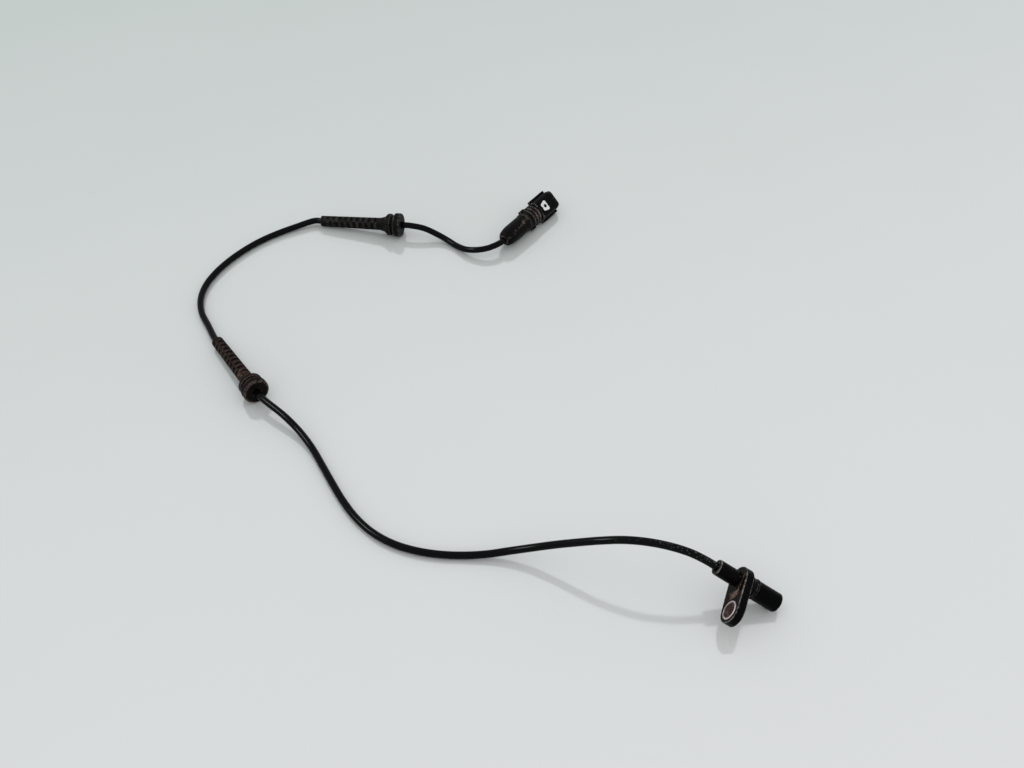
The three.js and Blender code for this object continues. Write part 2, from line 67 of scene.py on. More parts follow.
# Listed points of the cable between the pieces on it, in metres in the row frame
GROUND = 0.0027
ARCH_ROUTE = [
    (-0.037, 0.0096, 0.0372), (-0.050, 0.009, 0.040), (-0.064, 0.0084, 0.0402), (-0.077, 0.008, 0.0378),
    (-0.090, 0.0075, 0.0332), (-0.104, 0.0074, 0.0265), (-0.118, 0.0072, 0.0194), (-0.132, 0.0062, 0.0126),
    (-0.146, 0.0038, 0.0074), (-0.160, 0.0, 0.004), (-0.175, -0.004, GROUND), (-0.191, -0.0072, GROUND),
    (-0.207, -0.008, GROUND), (-0.222, -0.0062, GROUND), (-0.237, -0.001, GROUND), (-0.251, 0.0075, GROUND),
    (-0.264, 0.0185, GROUND), (-0.276, 0.0305, GROUND), (-0.288, 0.043, GROUND), (-0.300, 0.055, 0.0032),
    (-0.313, 0.065, 0.0054), (-0.327, 0.073, 0.0084),
]
LOOP_ROUTE = [
    (-0.422, 0.1485, 0.0032), (-0.434, 0.1615, GROUND), (-0.4415, 0.175, GROUND), (-0.445, 0.190, GROUND),
    (-0.4445, 0.206, GROUND), (-0.441, 0.222, GROUND), (-0.435, 0.238, GROUND), (-0.4265, 0.254, GROUND),
    (-0.416, 0.268, GROUND), (-0.4045, 0.2795, 0.0032),
]
PLUG_ROUTE = [
    (-0.298, 0.2976, 0.009), (-0.288, 0.2972, 0.006), (-0.278, 0.2949, 0.0036), (-0.2682, 0.2904, GROUND),
    (-0.2589, 0.2859, 0.0042), (-0.2493, 0.2848, 0.0063), (-0.2408, 0.2871, 0.0079), (-0.2344, 0.292, 0.0089),
]

Number = Union["Term", float]


class Slot(Enum):
    """The finishes by name: the record's material slots, and the cleaner look of the upper grommet."""

    HEAD = "head_nylon"
    CAP = "cap_plastic"
    STEEL = "zinc_steel"
    INNER = "inner_plastic"
    CHIP = "chip_resin"
    MAGNET = "magnet_metal"
    CERAMIC = "ceramic"
    BRASS = "contact_brass"
    COPPER = "crimp_copper"
    SIGNAL = "core_signal"
    SUPPLY = "core_supply"
    CABLE = "cable_jacket"
    GROMMET = "grommet_rubber"
    GROMMET_CLEAN = "grommet_rubber_clean"
    COVER = "cover_rubber"
    PLUG = "plug_plastic"
    WHITE = "white_plastic"
    SEAL = "seal_rubber"


def turn(axis: str, angle: float) -> np.ndarray:
    """A turn about one axis.

    Args:
        axis: "x", "y" or "z".
        angle: The angle in degrees, right-handed.

    Returns:
        The 3 by 3 matrix of the turn.
    """
    c, s = math.cos(math.radians(angle)), math.sin(math.radians(angle))
    if axis == "x":
        return np.array([[1, 0, 0], [0, c, -s], [0, s, c]])
    if axis == "y":
        return np.array([[c, 0, s], [0, 1, 0], [-s, 0, c]])
    return np.array([[c, -s, 0], [s, c, 0], [0, 0, 1]])


@dataclass(frozen=True)
class Placement:
    """Where an assembly's own axes are in the row frame.

    Attributes:
        origin: The origin of the own axes, in millimetres.
        matrix: The own axes as the columns of a matrix.
    """

    origin: tuple[float, float, float]
    matrix: np.ndarray = field(default_factory=lambda: np.eye(3))

    def to_row(self, points: np.ndarray) -> np.ndarray:
        """Places points in the row frame.

        Args:
            points: Points in the own axes, in millimetres, of any leading shape.

        Returns:
            The same points in the row frame, in metres.
        """
        return (np.asarray(self.origin) + points @ self.matrix.T) * MM

    def on_axis(self, station: float) -> tuple[float, float, float]:
        """A point on the own X axis.

        Args:
            station: The distance from the origin, in millimetres.

        Returns:
            The point in the row frame, in metres.
        """
        return tuple(self.to_row(np.array([station, 0.0, 0.0])))


HEAD_PLACE = Placement((-19.9791, 9.8609, 28.4911), turn("y", 31) @ turn("x", 11))
LOWER_PLACE = Placement((-354.0, 88.0, 9.892), turn("z", 139.5) @ turn("y", 4.4513) @ turn("x", 15))
UPPER_PLACE = Placement((-316.5, 296.0, 9.9125), turn("z", 184.5) @ turn("y", 4.4513))
PLUG_PLACE = Placement((-230.1, 299.1, 8.9419), turn("z", 68.7) @ turn("x", 42))


# Outlines and walks


class Outline:
    """A closed line round an axis that can be drawn in towards it."""

    def ring(self, reach: np.ndarray) -> np.ndarray:
        """The line at several reaches.

        Args:
            reach: Distances from the axis to the line's nearest side, in millimetres, one for each row.

        Returns:
            Rows by columns by 2 points in the plane across the axis.
        """
        raise NotImplementedError


@dataclass(frozen=True)
class Circle(Outline):
    """A circle round the axis.

    Attributes:
        columns: The number of points round it.
    """

    columns: int = 96

    def ring(self, reach: np.ndarray) -> np.ndarray:
        """The circle at several reaches: the reach times the cosine and sine of the angle round the axis.

        Args:
            reach: The circle's radius in each row, in millimetres.

        Returns:
            Rows by columns by 2 points in the plane across the axis.
        """
        angle = np.linspace(0, 2 * math.pi, self.columns, endpoint=False)
        return reach[:, None, None] * np.stack([np.cos(angle), np.sin(angle)], axis=-1)


@dataclass(frozen=True)
class RoundedRectangle(Outline):
    """A rectangle with round corners, whose reach is half its height.

    Attributes:
        width: Its size along the own Y axis, in millimetres.
        height: Its size along the own Z axis.
        corner: The radius of its corners.
        corner_steps: The steps of each corner.
        side_steps: The points between two corners.
        least: The smallest radius of a corner that is drawn in.
    """

    width: float
    height: float
    corner: float
    corner_steps: int = 8
    side_steps: int = 6
    least: float = 0.15

    def ring(self, reach: np.ndarray) -> np.ndarray:
        """The line at several reaches: four quarter circles whose radius shrinks as the line is drawn in.

        Args:
            reach: Half the height in each row, in millimetres.

        Returns:
            Rows by columns by 2 points in the plane across the axis.
        """
        inset = self.height / 2 - reach[:, None, None, None]
        radius = np.maximum(self.corner - inset, self.least)
        half = np.stack([self.width / 2 - inset[..., 0], self.height / 2 - inset[..., 0]], axis=-1)
        quarter = np.arange(4)[:, None]
        angle = (quarter + np.linspace(0, 1, self.corner_steps + 1)) * math.pi / 2
        sign = np.stack([np.where(np.isin(quarter, (0, 3)), 1, -1), np.where(quarter < 2, 1, -1)], axis=-1)
        arc = np.stack([np.cos(angle), np.sin(angle)], axis=-1)
        corners = sign * np.maximum(half - radius, 0) + radius * arc
        along = np.linspace(0, 1, self.side_steps + 2)[1:-1, None]
        ends, starts = corners[:, :, -1:, :], np.roll(corners, -1, axis=1)[:, :, :1, :]
        sides = ends + (starts - ends) * along
        return np.concatenate([corners, sides], axis=2).reshape(len(reach), -1, 2)


@dataclass(frozen=True)
class Mouthed(Outline):
    """A rounded rectangle on the outside and another one in its mouth.

    Attributes:
        outer: The outside, used where the reach is at least split.
        inner: The mouth, used below that.
        split: The reach between the two.
    """

    outer: RoundedRectangle
    inner: RoundedRectangle
    split: float

    def ring(self, reach: np.ndarray) -> np.ndarray:
        """The line at several reaches: the outer rectangle's from split on, and the mouth's below it.

        Args:
            reach: Half the height of either rectangle in each row, in millimetres.

        Returns:
            Rows by columns by 2 points in the plane across the axis.
        """
        outside = (reach >= self.split)[:, None, None]
        return np.where(outside, self.outer.ring(reach), self.inner.ring(reach))


@dataclass(frozen=True)
class HoledPlate(Outline):
    """A plate's outer line and the round hole in it, seen along rays from the hole's centre.

    A reach above split is the outer line drawn in, and one below it is a circle round the hole's centre.

    Attributes:
        outer: The outer line drawn in by an inset, as points in order.
        centre: The hole's centre.
        full: The reach at which the outer line isn't drawn in.
        split: The reach between the outer line and the hole.
        columns: The number of rays.
    """

    outer: Callable[[float], np.ndarray]
    centre: tuple[float, float]
    full: float
    split: float
    columns: int = 144

    def ring(self, reach: np.ndarray) -> np.ndarray:
        """The line at several reaches: the distance along each ray, read off the outer line or equal to the reach.

        Args:
            reach: Each row's reach, in millimetres.

        Returns:
            Rows by columns by 2 points in the plane across the axis.
        """
        rays = np.linspace(-math.pi, math.pi, self.columns, endpoint=False)
        rows = []
        for value in reach:
            if value > self.split:
                arms = self.outer(self.full - value) - np.array(self.centre)
                angle = np.arctan2(arms[:, 1], arms[:, 0])
                order = np.argsort(angle)
                length = np.hypot(arms[:, 0], arms[:, 1])[order]
                distance = np.interp(rays, angle[order], length, period=2 * math.pi)
            else:
                distance = np.full(self.columns, value)
            rows.append(self.centre + distance[:, None] * np.stack([np.cos(rays), np.sin(rays)], axis=-1))
        return np.array(rows)


@dataclass(frozen=True)
class Walk:
    """A line along an axis with rounded corners, walked with the material on its right.

    Attributes:
        corners: (station, reach, rounding) of each corner, in millimetres. A closed walk starts and ends there too.
        closed: Whether the walk returns to its start.
        step: The longest straight step.
        band: How far the look of a rounded edge goes on past it.
        arc_steps: The steps of each rounding.
        least: The smallest radius of a rounding, so that every corner has its steps.
        share: The most of a straight stretch that one rounding may take up.
        straight: The swing, in radians, below which a corner counts as none.
    """

    corners: Sequence[tuple[float, float, float]]
    closed: bool = False
    step: float = 4.0
    band: float = 0.25
    arc_steps: int = 5
    least: float = 0.02
    share: float = 0.45
    straight: float = 0.001

    def rows(self) -> tuple[np.ndarray, np.ndarray]:
        """The walk's rows: at each corner an arc that starts radius times tan(swing / 2) before it, then the straights.

        Returns:
            The (station, reach) of each row, and how sharp the edge there is: 1 on a ridge, -1 in a recess.
        """
        corners = np.array(self.corners, dtype=float)
        count = len(corners)
        places, edges = [], []
        for i, (station, reach, rounding) in enumerate(corners):
            here = np.array([station, reach])
            if not self.closed and i in (0, count - 1):
                places.append(here[None])
                edges.append(np.zeros(1))
                continue
            before = here - corners[i - 1, :2]
            after = corners[(i + 1) % count, :2] - here
            lengths = np.linalg.norm(before), np.linalg.norm(after)
            u, v = before / lengths[0], after / lengths[1]
            swing = math.atan2(u[0] * v[1] - u[1] * v[0], float(u @ v))
            if abs(swing) < self.straight:
                places.append(here[None])
                edges.append(np.zeros(1))
                continue
            most = self.share * min(lengths) / math.tan(abs(swing) / 2)
            radius = max(min(rounding, most), self.least)
            start = here - u * radius * math.tan(abs(swing) / 2)
            angle = np.linspace(0, abs(swing), self.arc_steps + 1)[:, None]
            side = math.copysign(1, swing) * np.array([-u[1], u[0]])
            places.append(start + radius * (np.sin(angle) * u + (1 - np.cos(angle)) * side))
            edges.append(np.full(self.arc_steps + 1, -swing / (math.pi / 2)))
        return self._with_straights(places, edges)

    def _with_straights(self, places: list, edges: list) -> tuple[np.ndarray, np.ndarray]:
        """Fills the straight stretches between roundings with steps and with the edges' bands.

        Args:
            places: The (station, reach) rows of each corner.
            edges: How sharp the edge is at each of them.

        Returns:
            All rows in order, and how sharp the edge is at each.
        """
        out_places, out_edges = [], []
        spans = len(places) if self.closed else len(places) - 1
        for i in range(len(places)):
            out_places.append(places[i])
            out_edges.append(edges[i])
            if i >= spans:
                continue
            start, end = places[i][-1], places[(i + 1) % len(places)][0]
            length = float(np.linalg.norm(end - start))
            if length < 3 * self.band:
                continue
            inner = np.linspace(self.band, length - self.band, max(2, math.ceil(length / self.step)) + 1)
            out_places.append(start + (end - start) * (inner / length)[:, None])
            out_edges.append(np.zeros(len(inner)))
        return np.concatenate(out_places), np.concatenate(out_edges)


@dataclass
class Skin:
    """A closed surface as rows and columns of points.

    Attributes:
        points: Rows by columns by 3, in millimetres, in the assembly's own axes.
        edge: The sharpness at each point, from -1 in a recess to 1 on a ridge.
        soil: The dirt at each point, from 0 to 1.
        closed: Whether the last row joins the first. If not, the end rows are single points on the axis.
    """

    points: np.ndarray
    edge: np.ndarray
    soil: np.ndarray
    closed: bool

    def faces(self, first: int) -> list[tuple[int, ...]]:
        """The faces between the rows.

        Args:
            first: The number of the skin's first vertex.

        Returns:
            Faces as vertex numbers, triangles where a row is a single point.
        """
        rows, columns = self.points.shape[:2]
        index = first + np.arange(rows * columns).reshape(rows, columns)
        if not self.closed:
            index[0], index[-1] = index[0, 0], index[-1, 0]
        low = index if self.closed else index[:-1]
        high = np.roll(index, -1, axis=0) if self.closed else index[1:]
        quads = np.stack([low, np.roll(low, -1, axis=1), np.roll(high, -1, axis=1), high], axis=-1).reshape(-1, 4)
        return [tuple(dict.fromkeys(quad)) for quad in quads.tolist()]

    def refined(self, most: float) -> "Skin":
        """Puts rows in between, on straight lines, where two rows are far apart.

        Args:
            most: The longest step that stays, in millimetres.

        Returns:
            The finer surface.
        """
        count = len(self.points)
        layers = np.concatenate([self.points, self.edge[..., None], self.soil[..., None]], axis=-1)
        rows = []
        for i in range(count if self.closed else count - 1):
            here, there = layers[i], layers[(i + 1) % count]
            gap = np.linalg.norm((there - here)[:, :3], axis=-1).max()
            share = np.linspace(0, 1, max(1, math.ceil(gap / most)), endpoint=False)[:, None, None]
            rows.append(here + (there - here) * share)
        if not self.closed:
            rows.append(layers[-1:])
        fine = np.concatenate(rows)
        return Skin(fine[..., :3], fine[..., 3], fine[..., 4], self.closed)


def swept(outline: Outline, walk: Walk, soil: float = 0.0, across: tuple[float, float] = (0.0, 0.0)) -> Skin:
    """Carries an outline along a walk.

    Args:
        outline: The line round the axis.
        walk: The stations and reaches.
        soil: The dirt all over it.
        across: How far the axis is moved along the own Y and Z axes.

    Returns:
        The closed surface.
    """
    places, edges = walk.rows()
    rings = outline.ring(places[:, 1]) + np.array(across)
    if not walk.closed:
        rings[[0, -1]] = across
    stations = np.broadcast_to(places[:, 0, None, None], (*rings.shape[:2], 1))
    points = np.concatenate([stations, rings], axis=-1)
    shape = points.shape[:2]
    return Skin(points, np.broadcast_to(edges[:, None], shape).copy(), np.full(shape, soil), walk.closed)


def beam(start: float, end: float, width: float, height: float, corner: float, soil: float = 0.0,
         across: tuple[float, float] = (0.0, 0.0), rounding: float = 0.3) -> Skin:
    """A bar along the axis with round edges.

    Args:
        start: The station of its rear face.
        end: The station of its front face.
        width: Its size along Y.
        height: Its size along Z.
        corner: The rounding of its long edges.
        soil: The dirt all over it.
        across: Its centre line's place in Y and Z.
        rounding: The rounding of its end faces' edges.

    Returns:
        The closed surface.
    """
    half = height / 2
    walk = Walk([(start, 0, 0), (start, half, rounding), (end, half, rounding), (end, 0, 0)])
    return swept(RoundedRectangle(width, height, corner), walk, soil, across)


@dataclass
class Piece:
    """One finished piece of the object.

    Attributes:
        name: The piece's name.
        skins: Its closed surfaces.
        placement: Where its own axes are.
        slot: The record's material slot. Not used.
        material: Its material.
        replaces: The CAD nodes that it stands for.
    """

    name: str
    skins: Sequence[Skin]
    placement: Placement
    slot: Slot
    material: bpy.types.Material
    replaces: Sequence[str]

    def build(self) -> bpy.types.Object:
        """Returns:
            The object, at the origin, with its place in its mesh.
        """
        offsets = np.cumsum([0] + [skin.edge.size for skin in self.skins])
        faces = [face for skin, first in zip(self.skins, offsets) for face in skin.faces(int(first))]
        points = self.placement.to_row(np.concatenate([skin.points.reshape(-1, 3) for skin in self.skins]))
        edge = np.concatenate([skin.edge.ravel() for skin in self.skins])
        soil = np.concatenate([skin.soil.ravel() for skin in self.skins])
        used = np.unique(np.array([number for face in faces for number in face]))
        renumber = np.zeros(len(points), dtype=int)
        renumber[used] = np.arange(len(used))
        renumbered = [tuple(renumber[list(face)].tolist()) for face in faces if len(face) > 2]
        mesh = bpy.data.meshes.new(self.name)
        mesh.from_pydata(points[used].tolist(), [], renumbered)
        for label, values in (("edge", edge), ("soil", soil)):
            layer = mesh.attributes.new(label, "FLOAT", "POINT")
            layer.data.foreach_set("value", values[used].astype(np.float32))
        mesh.materials.append(self.material)
        mesh.polygons.foreach_set("use_smooth", np.ones(len(mesh.polygons), dtype=bool))
        mesh.set_sharp_from_angle(angle=math.radians(CREASE))
        obj = bpy.data.objects.new(self.name, mesh)
        bpy.context.scene.collection.objects.link(obj)
        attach(obj, ROOT)
        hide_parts(*self.replaces)
        log.info("%s: %d faces", self.name, len(mesh.polygons))
        return obj


# Shader terms


class Term:
    """A number that varies over a surface, held as the output of a shader node."""

    def __init__(self, tree: "Tree", socket: bpy.types.NodeSocket) -> None:
        """Wraps the output of a node in that tree."""
        self.tree = tree
        self.socket = socket

    def _with(self, operation: str, first: Number, second: Number, clamp: bool = False) -> "Term":
        """The result of a Math node with that operation on two numbers, kept between 0 and 1 if clamp is set."""
        settings = {"operation": operation, "use_clamp": clamp}
        return self.tree.output("ShaderNodeMath", settings, {0: first, 1: second})

    def __add__(self, other: Number) -> "Term":
        """This number plus the other."""
        return self._with("ADD", self, other)

    def __radd__(self, other: Number) -> "Term":
        """The other number plus this one."""
        return self._with("ADD", other, self)

    def __sub__(self, other: Number) -> "Term":
        """This number minus the other."""
        return self._with("SUBTRACT", self, other)

    def __rsub__(self, other: Number) -> "Term":
        """The other number minus this one."""
        return self._with("SUBTRACT", other, self)

    def __mul__(self, other: Number) -> "Term":
        """This number times the other."""
        return self._with("MULTIPLY", self, other)

    def __rmul__(self, other: Number) -> "Term":
        """The other number times this one."""
        return self._with("MULTIPLY", other, self)

    def __neg__(self) -> "Term":
        """This number with its sign changed."""
        return self._with("MULTIPLY", self, -1.0)

    def clamped(self) -> "Term":
        """The number kept between 0 and 1."""
        return self._with("ADD", self, 0.0, clamp=True)

    def step(self, low: float, high: float) -> "Term":
        """A soft step.

        Args:
            low: Where it is still 0.
            high: Where it has become 1.

        Returns:
            The step's height, from 0 to 1.
        """
        settings = {"interpolation_type": "SMOOTHSTEP", "clamp": True}
        return self.tree.output("ShaderNodeMapRange", settings, {"Value": self, "From Min": low, "From Max": high})


class Tree:
    """The node tree of one material, whose patterns lie in Object coordinates."""

    def __init__(self, name: str) -> None:
        """Makes the material.

        Args:
            name: The material's name.
        """
        self.material = bpy.data.materials.new(name)
        self.material.use_nodes = True
        self.nodes = self.material.node_tree.nodes
        self.links = self.material.node_tree.links
        self.shader = self.nodes["Principled BSDF"]
        self.place = self.output("ShaderNodeTexCoord", {}, {}, "Object").socket

    def node(self, kind: str, settings: dict, inputs: dict) -> bpy.types.Node:
        """Adds a node.

        Args:
            kind: The node's type.
            settings: The node's own properties.
            inputs: Socket names or numbers, with a plain value, a term or a socket for each.

        Returns:
            The node.
        """
        node = self.nodes.new(kind)
        for key, value in settings.items():
            setattr(node, key, value)
        for key, value in inputs.items():
            self.feed(node.inputs[key], value)
        return node

    def feed(self, target: bpy.types.NodeSocket, value: object) -> None:
        """Links a term or a socket to an input, or sets the input to a plain value.

        Args:
            target: The input.
            value: The term, the socket or the plain value.
        """
        if isinstance(value, Term):
            value = value.socket
        if isinstance(value, bpy.types.NodeSocket):
            self.links.new(value, target)
        else:
            target.default_value = value

    def output(self, kind: str, settings: dict, inputs: dict, name: Union[str, int] = 0) -> Term:
        """Adds a node and takes one of its outputs as a term."""
        return Term(self, self.node(kind, settings, inputs).outputs[name])

    def noise(self, size: float, detail: float = 4.0, rough: float = 0.55, squeeze: Optional[tuple] = None,
              warp: float = 0.0) -> Term:
        """Soft noise.

        Args:
            size: The size of its largest features, in millimetres.
            detail: How many finer layers it has.
            rough: How strong the finer layers are.
            squeeze: How much it is squeezed along each row axis.
            warp: How much it is bent.

        Returns:
            A number from 0 to 1, mostly near 0.5.
        """
        place = self.place
        if squeeze is not None:
            settings = {"operation": "MULTIPLY"}
            place = self.node("ShaderNodeVectorMath", settings, {0: self.place, 1: squeeze}).outputs[0]
        inputs = {"Vector": place, "Scale": 1 / (size * MM), "Detail": detail, "Roughness": rough, "Distortion": warp}
        return self.output("ShaderNodeTexNoise", {}, inputs, "Fac")

    def cells(self, size: float) -> Term:
        """Small round cells at irregular places.

        Args:
            size: The usual distance between their centres, in millimetres.

        Returns:
            The distance to the nearest centre, as a part of size.
        """
        inputs = {"Vector": self.place, "Scale": 1 / (size * MM), "Randomness": 1.0}
        return self.output("ShaderNodeTexVoronoi", {}, inputs, "Distance")

    def attribute(self, name: str) -> Term:
        """A number that the mesh carries at each of its points."""
        return self.output("ShaderNodeAttribute", {"attribute_name": name}, {}, "Fac")

    def blend(self, share: Number, first: object, second: object) -> bpy.types.NodeSocket:
        """Mixes two colours.

        Args:
            share: How much of the second there is.
            first: The colour at 0, as red, green and blue or a socket.
            second: The colour at 1.

        Returns:
            The mixed colour's socket.
        """
        first, second = ((*c, 1.0) if isinstance(c, tuple) else c for c in (first, second))
        return self.node("ShaderNodeMix", {"data_type": "RGBA"}, {0: share, 6: first, 7: second}).outputs[2]

    def finish(self, inputs: dict, relief: Term, depth: float) -> bpy.types.Material:
        """Feeds the surface shader.

        Args:
            inputs: The shader's inputs, as for node.
            relief: The height of the fine relief.
            depth: The relief's depth in millimetres.

        Returns:
            The finished material.
        """
        bump = self.node("ShaderNodeBump", {}, {"Strength": 0.6, "Distance": depth * MM, "Height": relief})
        for key, value in inputs.items():
            self.feed(self.shader.inputs[key], value)
        self.feed(self.shader.inputs["Normal"], bump.outputs[0])
        return self.material


Colour = tuple[float, float, float]


@dataclass(frozen=True)
class Weathered:
    """A moulded surface with dust on it, stains in its recesses, specks, scuffs, and lighter edges that are part wear
    and part painted highlight.

    Attributes:
        clean: The colour of the bare material.
        dust: The colour of thick dust.
        stain: The colour of what has dried in the recesses.
        edge_wear_and_highlight: The colour of the lighter edges, part wear and part a painted highlight along them.
        gloss: The roughness of the bare material.
        matt: The roughness of the dust.
        grain: The size of the moulded grain, in millimetres.
        dusty: How much dust lies all over it, about -0.2 to 0.6.
        film: How much the thinnest dust hides, from 0 to 1.
        shine: How strongly the bare surface mirrors.
        scuffed: How strong the fine scuffs are, from 0 to 1.
    """

    clean: Colour
    dust: Colour
    stain: Colour
    edge_wear_and_highlight: Colour
    gloss: float = 0.45
    matt: float = 0.85
    grain: float = 0.35
    dusty: float = 0.0
    film: float = 0.06
    shine: float = 0.06
    scuffed: float = 0.4

    def build(self, name: str) -> bpy.types.Material:
        """Makes the material. Dust lies where soil, broad patches and finer noise add up to more than a threshold.

        Args:
            name: The material's name.

        Returns:
            The material.
        """
        tree = Tree(name)
        edge, soil = tree.attribute("edge"), tree.attribute("soil")
        broad, middle = tree.noise(8.0, 4.0, 0.6, warp=0.6), tree.noise(2.2, 5.0, 0.65, warp=0.4)
        fine, grain = tree.noise(0.6, 4.0, 0.7), tree.noise(self.grain, 3.0)
        cover = soil + (broad - 0.5) * 1.5 + (middle - 0.5) * 2.2 + (fine - 0.5) * 1.5 + (self.dusty - 0.55)
        film, caked = cover.step(-0.1, 0.55), cover.step(0.3, 0.85)
        recess, ridge = (-edge).step(0.15, 0.9), edge.step(0.3, 0.9)
        stained = (recess * 0.8 + (middle - 0.5) * 1.6 + soil * 0.3 - 0.25).step(0.0, 0.4)
        specks = (1.0 - tree.cells(1.7).step(0.07, 0.17)) * (middle * 0.6 + soil * 0.35 + fine * 0.4).step(0.55, 0.7)
        lines = tree.noise(0.5, 2.0, squeeze=(0.09, 0.9, 0.9)).step(0.62, 0.74)
        scuffs = lines * (broad + 0.15 * soil).step(0.5, 0.62) * self.scuffed
        tone = tree.blend((fine + middle - 0.5).step(0.2, 0.85), tuple(0.7 * c for c in self.clean),
                          tuple(1.7 * c for c in self.clean))
        filmed = tree.blend(film * self.film, tone, self.dust)
        stain = tree.blend(stained * 0.8, filmed, self.stain)
        dusted = tree.blend(caked * (0.3 + fine * 0.9).clamped(), stain, self.dust)
        marked = tree.blend(((specks * 0.6) + scuffs * 0.5).clamped(), dusted, tuple(1.5 * c for c in self.dust))
        # Painted highlight: the ridges get a lighter colour, part edge wear and part a highlight painted along them.
        worn_and_highlit = tree.blend(ridge * (fine + middle).step(0.85, 1.15) * 0.75, marked, self.edge_wear_and_highlight)
        rough = (self.gloss + (self.matt - self.gloss) * (film * 0.6 + caked * 0.4) + (fine - 0.5) * 0.12).clamped()
        relief = grain * 0.3 + fine * 0.35 + caked * 0.5 - scuffs * 0.3 + specks * 0.3
        inputs = {"Base Color": worn_and_highlit, "Roughness": rough, "Specular IOR Level": self.shine}
        return tree.finish(inputs, relief, 0.18)


@dataclass(frozen=True)
class Jacket:
    """A glossy cable jacket with light specks that are part dried dirt and part a painted highlight broken into dots.

    Attributes:
        clean: The colour of the jacket.
        speck_and_glint: The colour of the specks, part dirt and part painted highlight.
        gloss: The roughness of the clean jacket.
        shine: How strongly it mirrors.
    """

    clean: Colour
    speck_and_glint: Colour
    gloss: float = 0.16
    shine: float = 0.075

    def build(self, name: str) -> bpy.types.Material:
        """Makes the material. Specks lie where round spots meet strong fine noise, most of all where soil is high.

        Args:
            name: The material's name.

        Returns:
            The material.
        """
        tree = Tree(name)
        soil = tree.attribute("soil")
        film, fine = tree.noise(12.0, 5.0, 0.6), tree.noise(0.8, 4.0, 0.7)
        spots = 1.0 - tree.cells(0.9).step(0.14, 0.3)
        # The specks are part dirt and part a painted highlight; they follow soil, which lies on the cable's upper side
        # near the head.
        specks = (spots * (fine + soil * 0.18).step(0.66, 0.72)).clamped()
        haze = ((film - 0.5) * 1.6 + soil * 0.35 + (fine - 0.5) * 0.8).step(0.0, 0.6)
        hazed = tree.blend(haze * 0.004, self.clean, self.speck_and_glint)
        colour = tree.blend(specks * 0.75, hazed, self.speck_and_glint)
        rough = (self.gloss + haze * 0.1 + specks * 0.45).clamped()
        relief = fine * 0.3 + specks * 0.5 + film * 0.5
        inputs = {"Base Color": colour, "Roughness": rough, "Specular IOR Level": self.shine}
        return tree.finish(inputs, relief, 0.03)


@dataclass(frozen=True)
class Rusted:
    """Plated steel with rust on it.

    Attributes:
        clean: The colour of the plating.
        rust: The colour of thick rust.
        bloom: The colour of the thin rust round it.
    """

    clean: Colour
    rust: Colour
    bloom: Colour

    def build(self, name: str) -> bpy.types.Material:
        """Makes the material. Rust lies where broad patches, fine noise and soil add up, and its bloom reaches further.

        Args:
            name: The material's name.

        Returns:
            The material.
        """
        tree = Tree(name)
        edge, soil = tree.attribute("edge"), tree.attribute("soil")
        patches, fine = tree.noise(2.6, 6.0, 0.65, warp=0.8), tree.noise(0.5, 5.0, 0.7)
        spread = (patches - 0.5) * 2.0 + (fine - 0.5) * 1.4 + soil * 0.8
        rust, bloom = (spread - edge * 0.2 - 0.25).step(0.0, 0.45), (spread - 0.05).step(-0.1, 0.4)
        plated = tree.blend(fine.step(0.3, 0.7) * 0.5, self.clean, tuple(0.55 * c for c in self.clean))
        tinted = tree.blend(bloom * 0.7, plated, self.bloom)
        colour = tree.blend(rust * 0.9, tinted, self.rust)
        inputs = {
            "Base Color": colour,
            "Metallic": (0.75 - rust * 0.7 - bloom * 0.3).clamped(),
            "Roughness": (0.42 + rust * 0.45 + bloom * 0.12).clamped(),
        }
        return tree.finish(inputs, fine * 0.5 + rust * 0.6, 0.12)


@dataclass(frozen=True)
class Plain:
    """A clean material of a piece that is mostly out of sight, with slight changes of tone and a fine grain.

    Attributes:
        clean: The material's colour.
        gloss: Its roughness.
        metal: How metallic it is.
        grain: The size of its grain, in millimetres.
    """

    clean: Colour
    gloss: float = 0.45
    metal: float = 0.0
    grain: float = 0.4

    def build(self, name: str) -> bpy.types.Material:
        """Makes the material. Soft noise darkens its colour and roughens it a little.

        Args:
            name: The material's name.

        Returns:
            The material.
        """
        tree = Tree(name)
        tone, grain = tree.noise(2.5, 4.0, 0.6), tree.noise(self.grain, 3.0)
        colour = tree.blend(tone.step(0.3, 0.75), self.clean, tuple(0.72 * c for c in self.clean))
        rough = (self.gloss - 0.08 + tone * 0.25).clamped()
        inputs = {"Base Color": colour, "Roughness": rough, "Metallic": self.metal}
        return tree.finish(inputs, grain * 0.5 + tone * 0.3, 0.04)


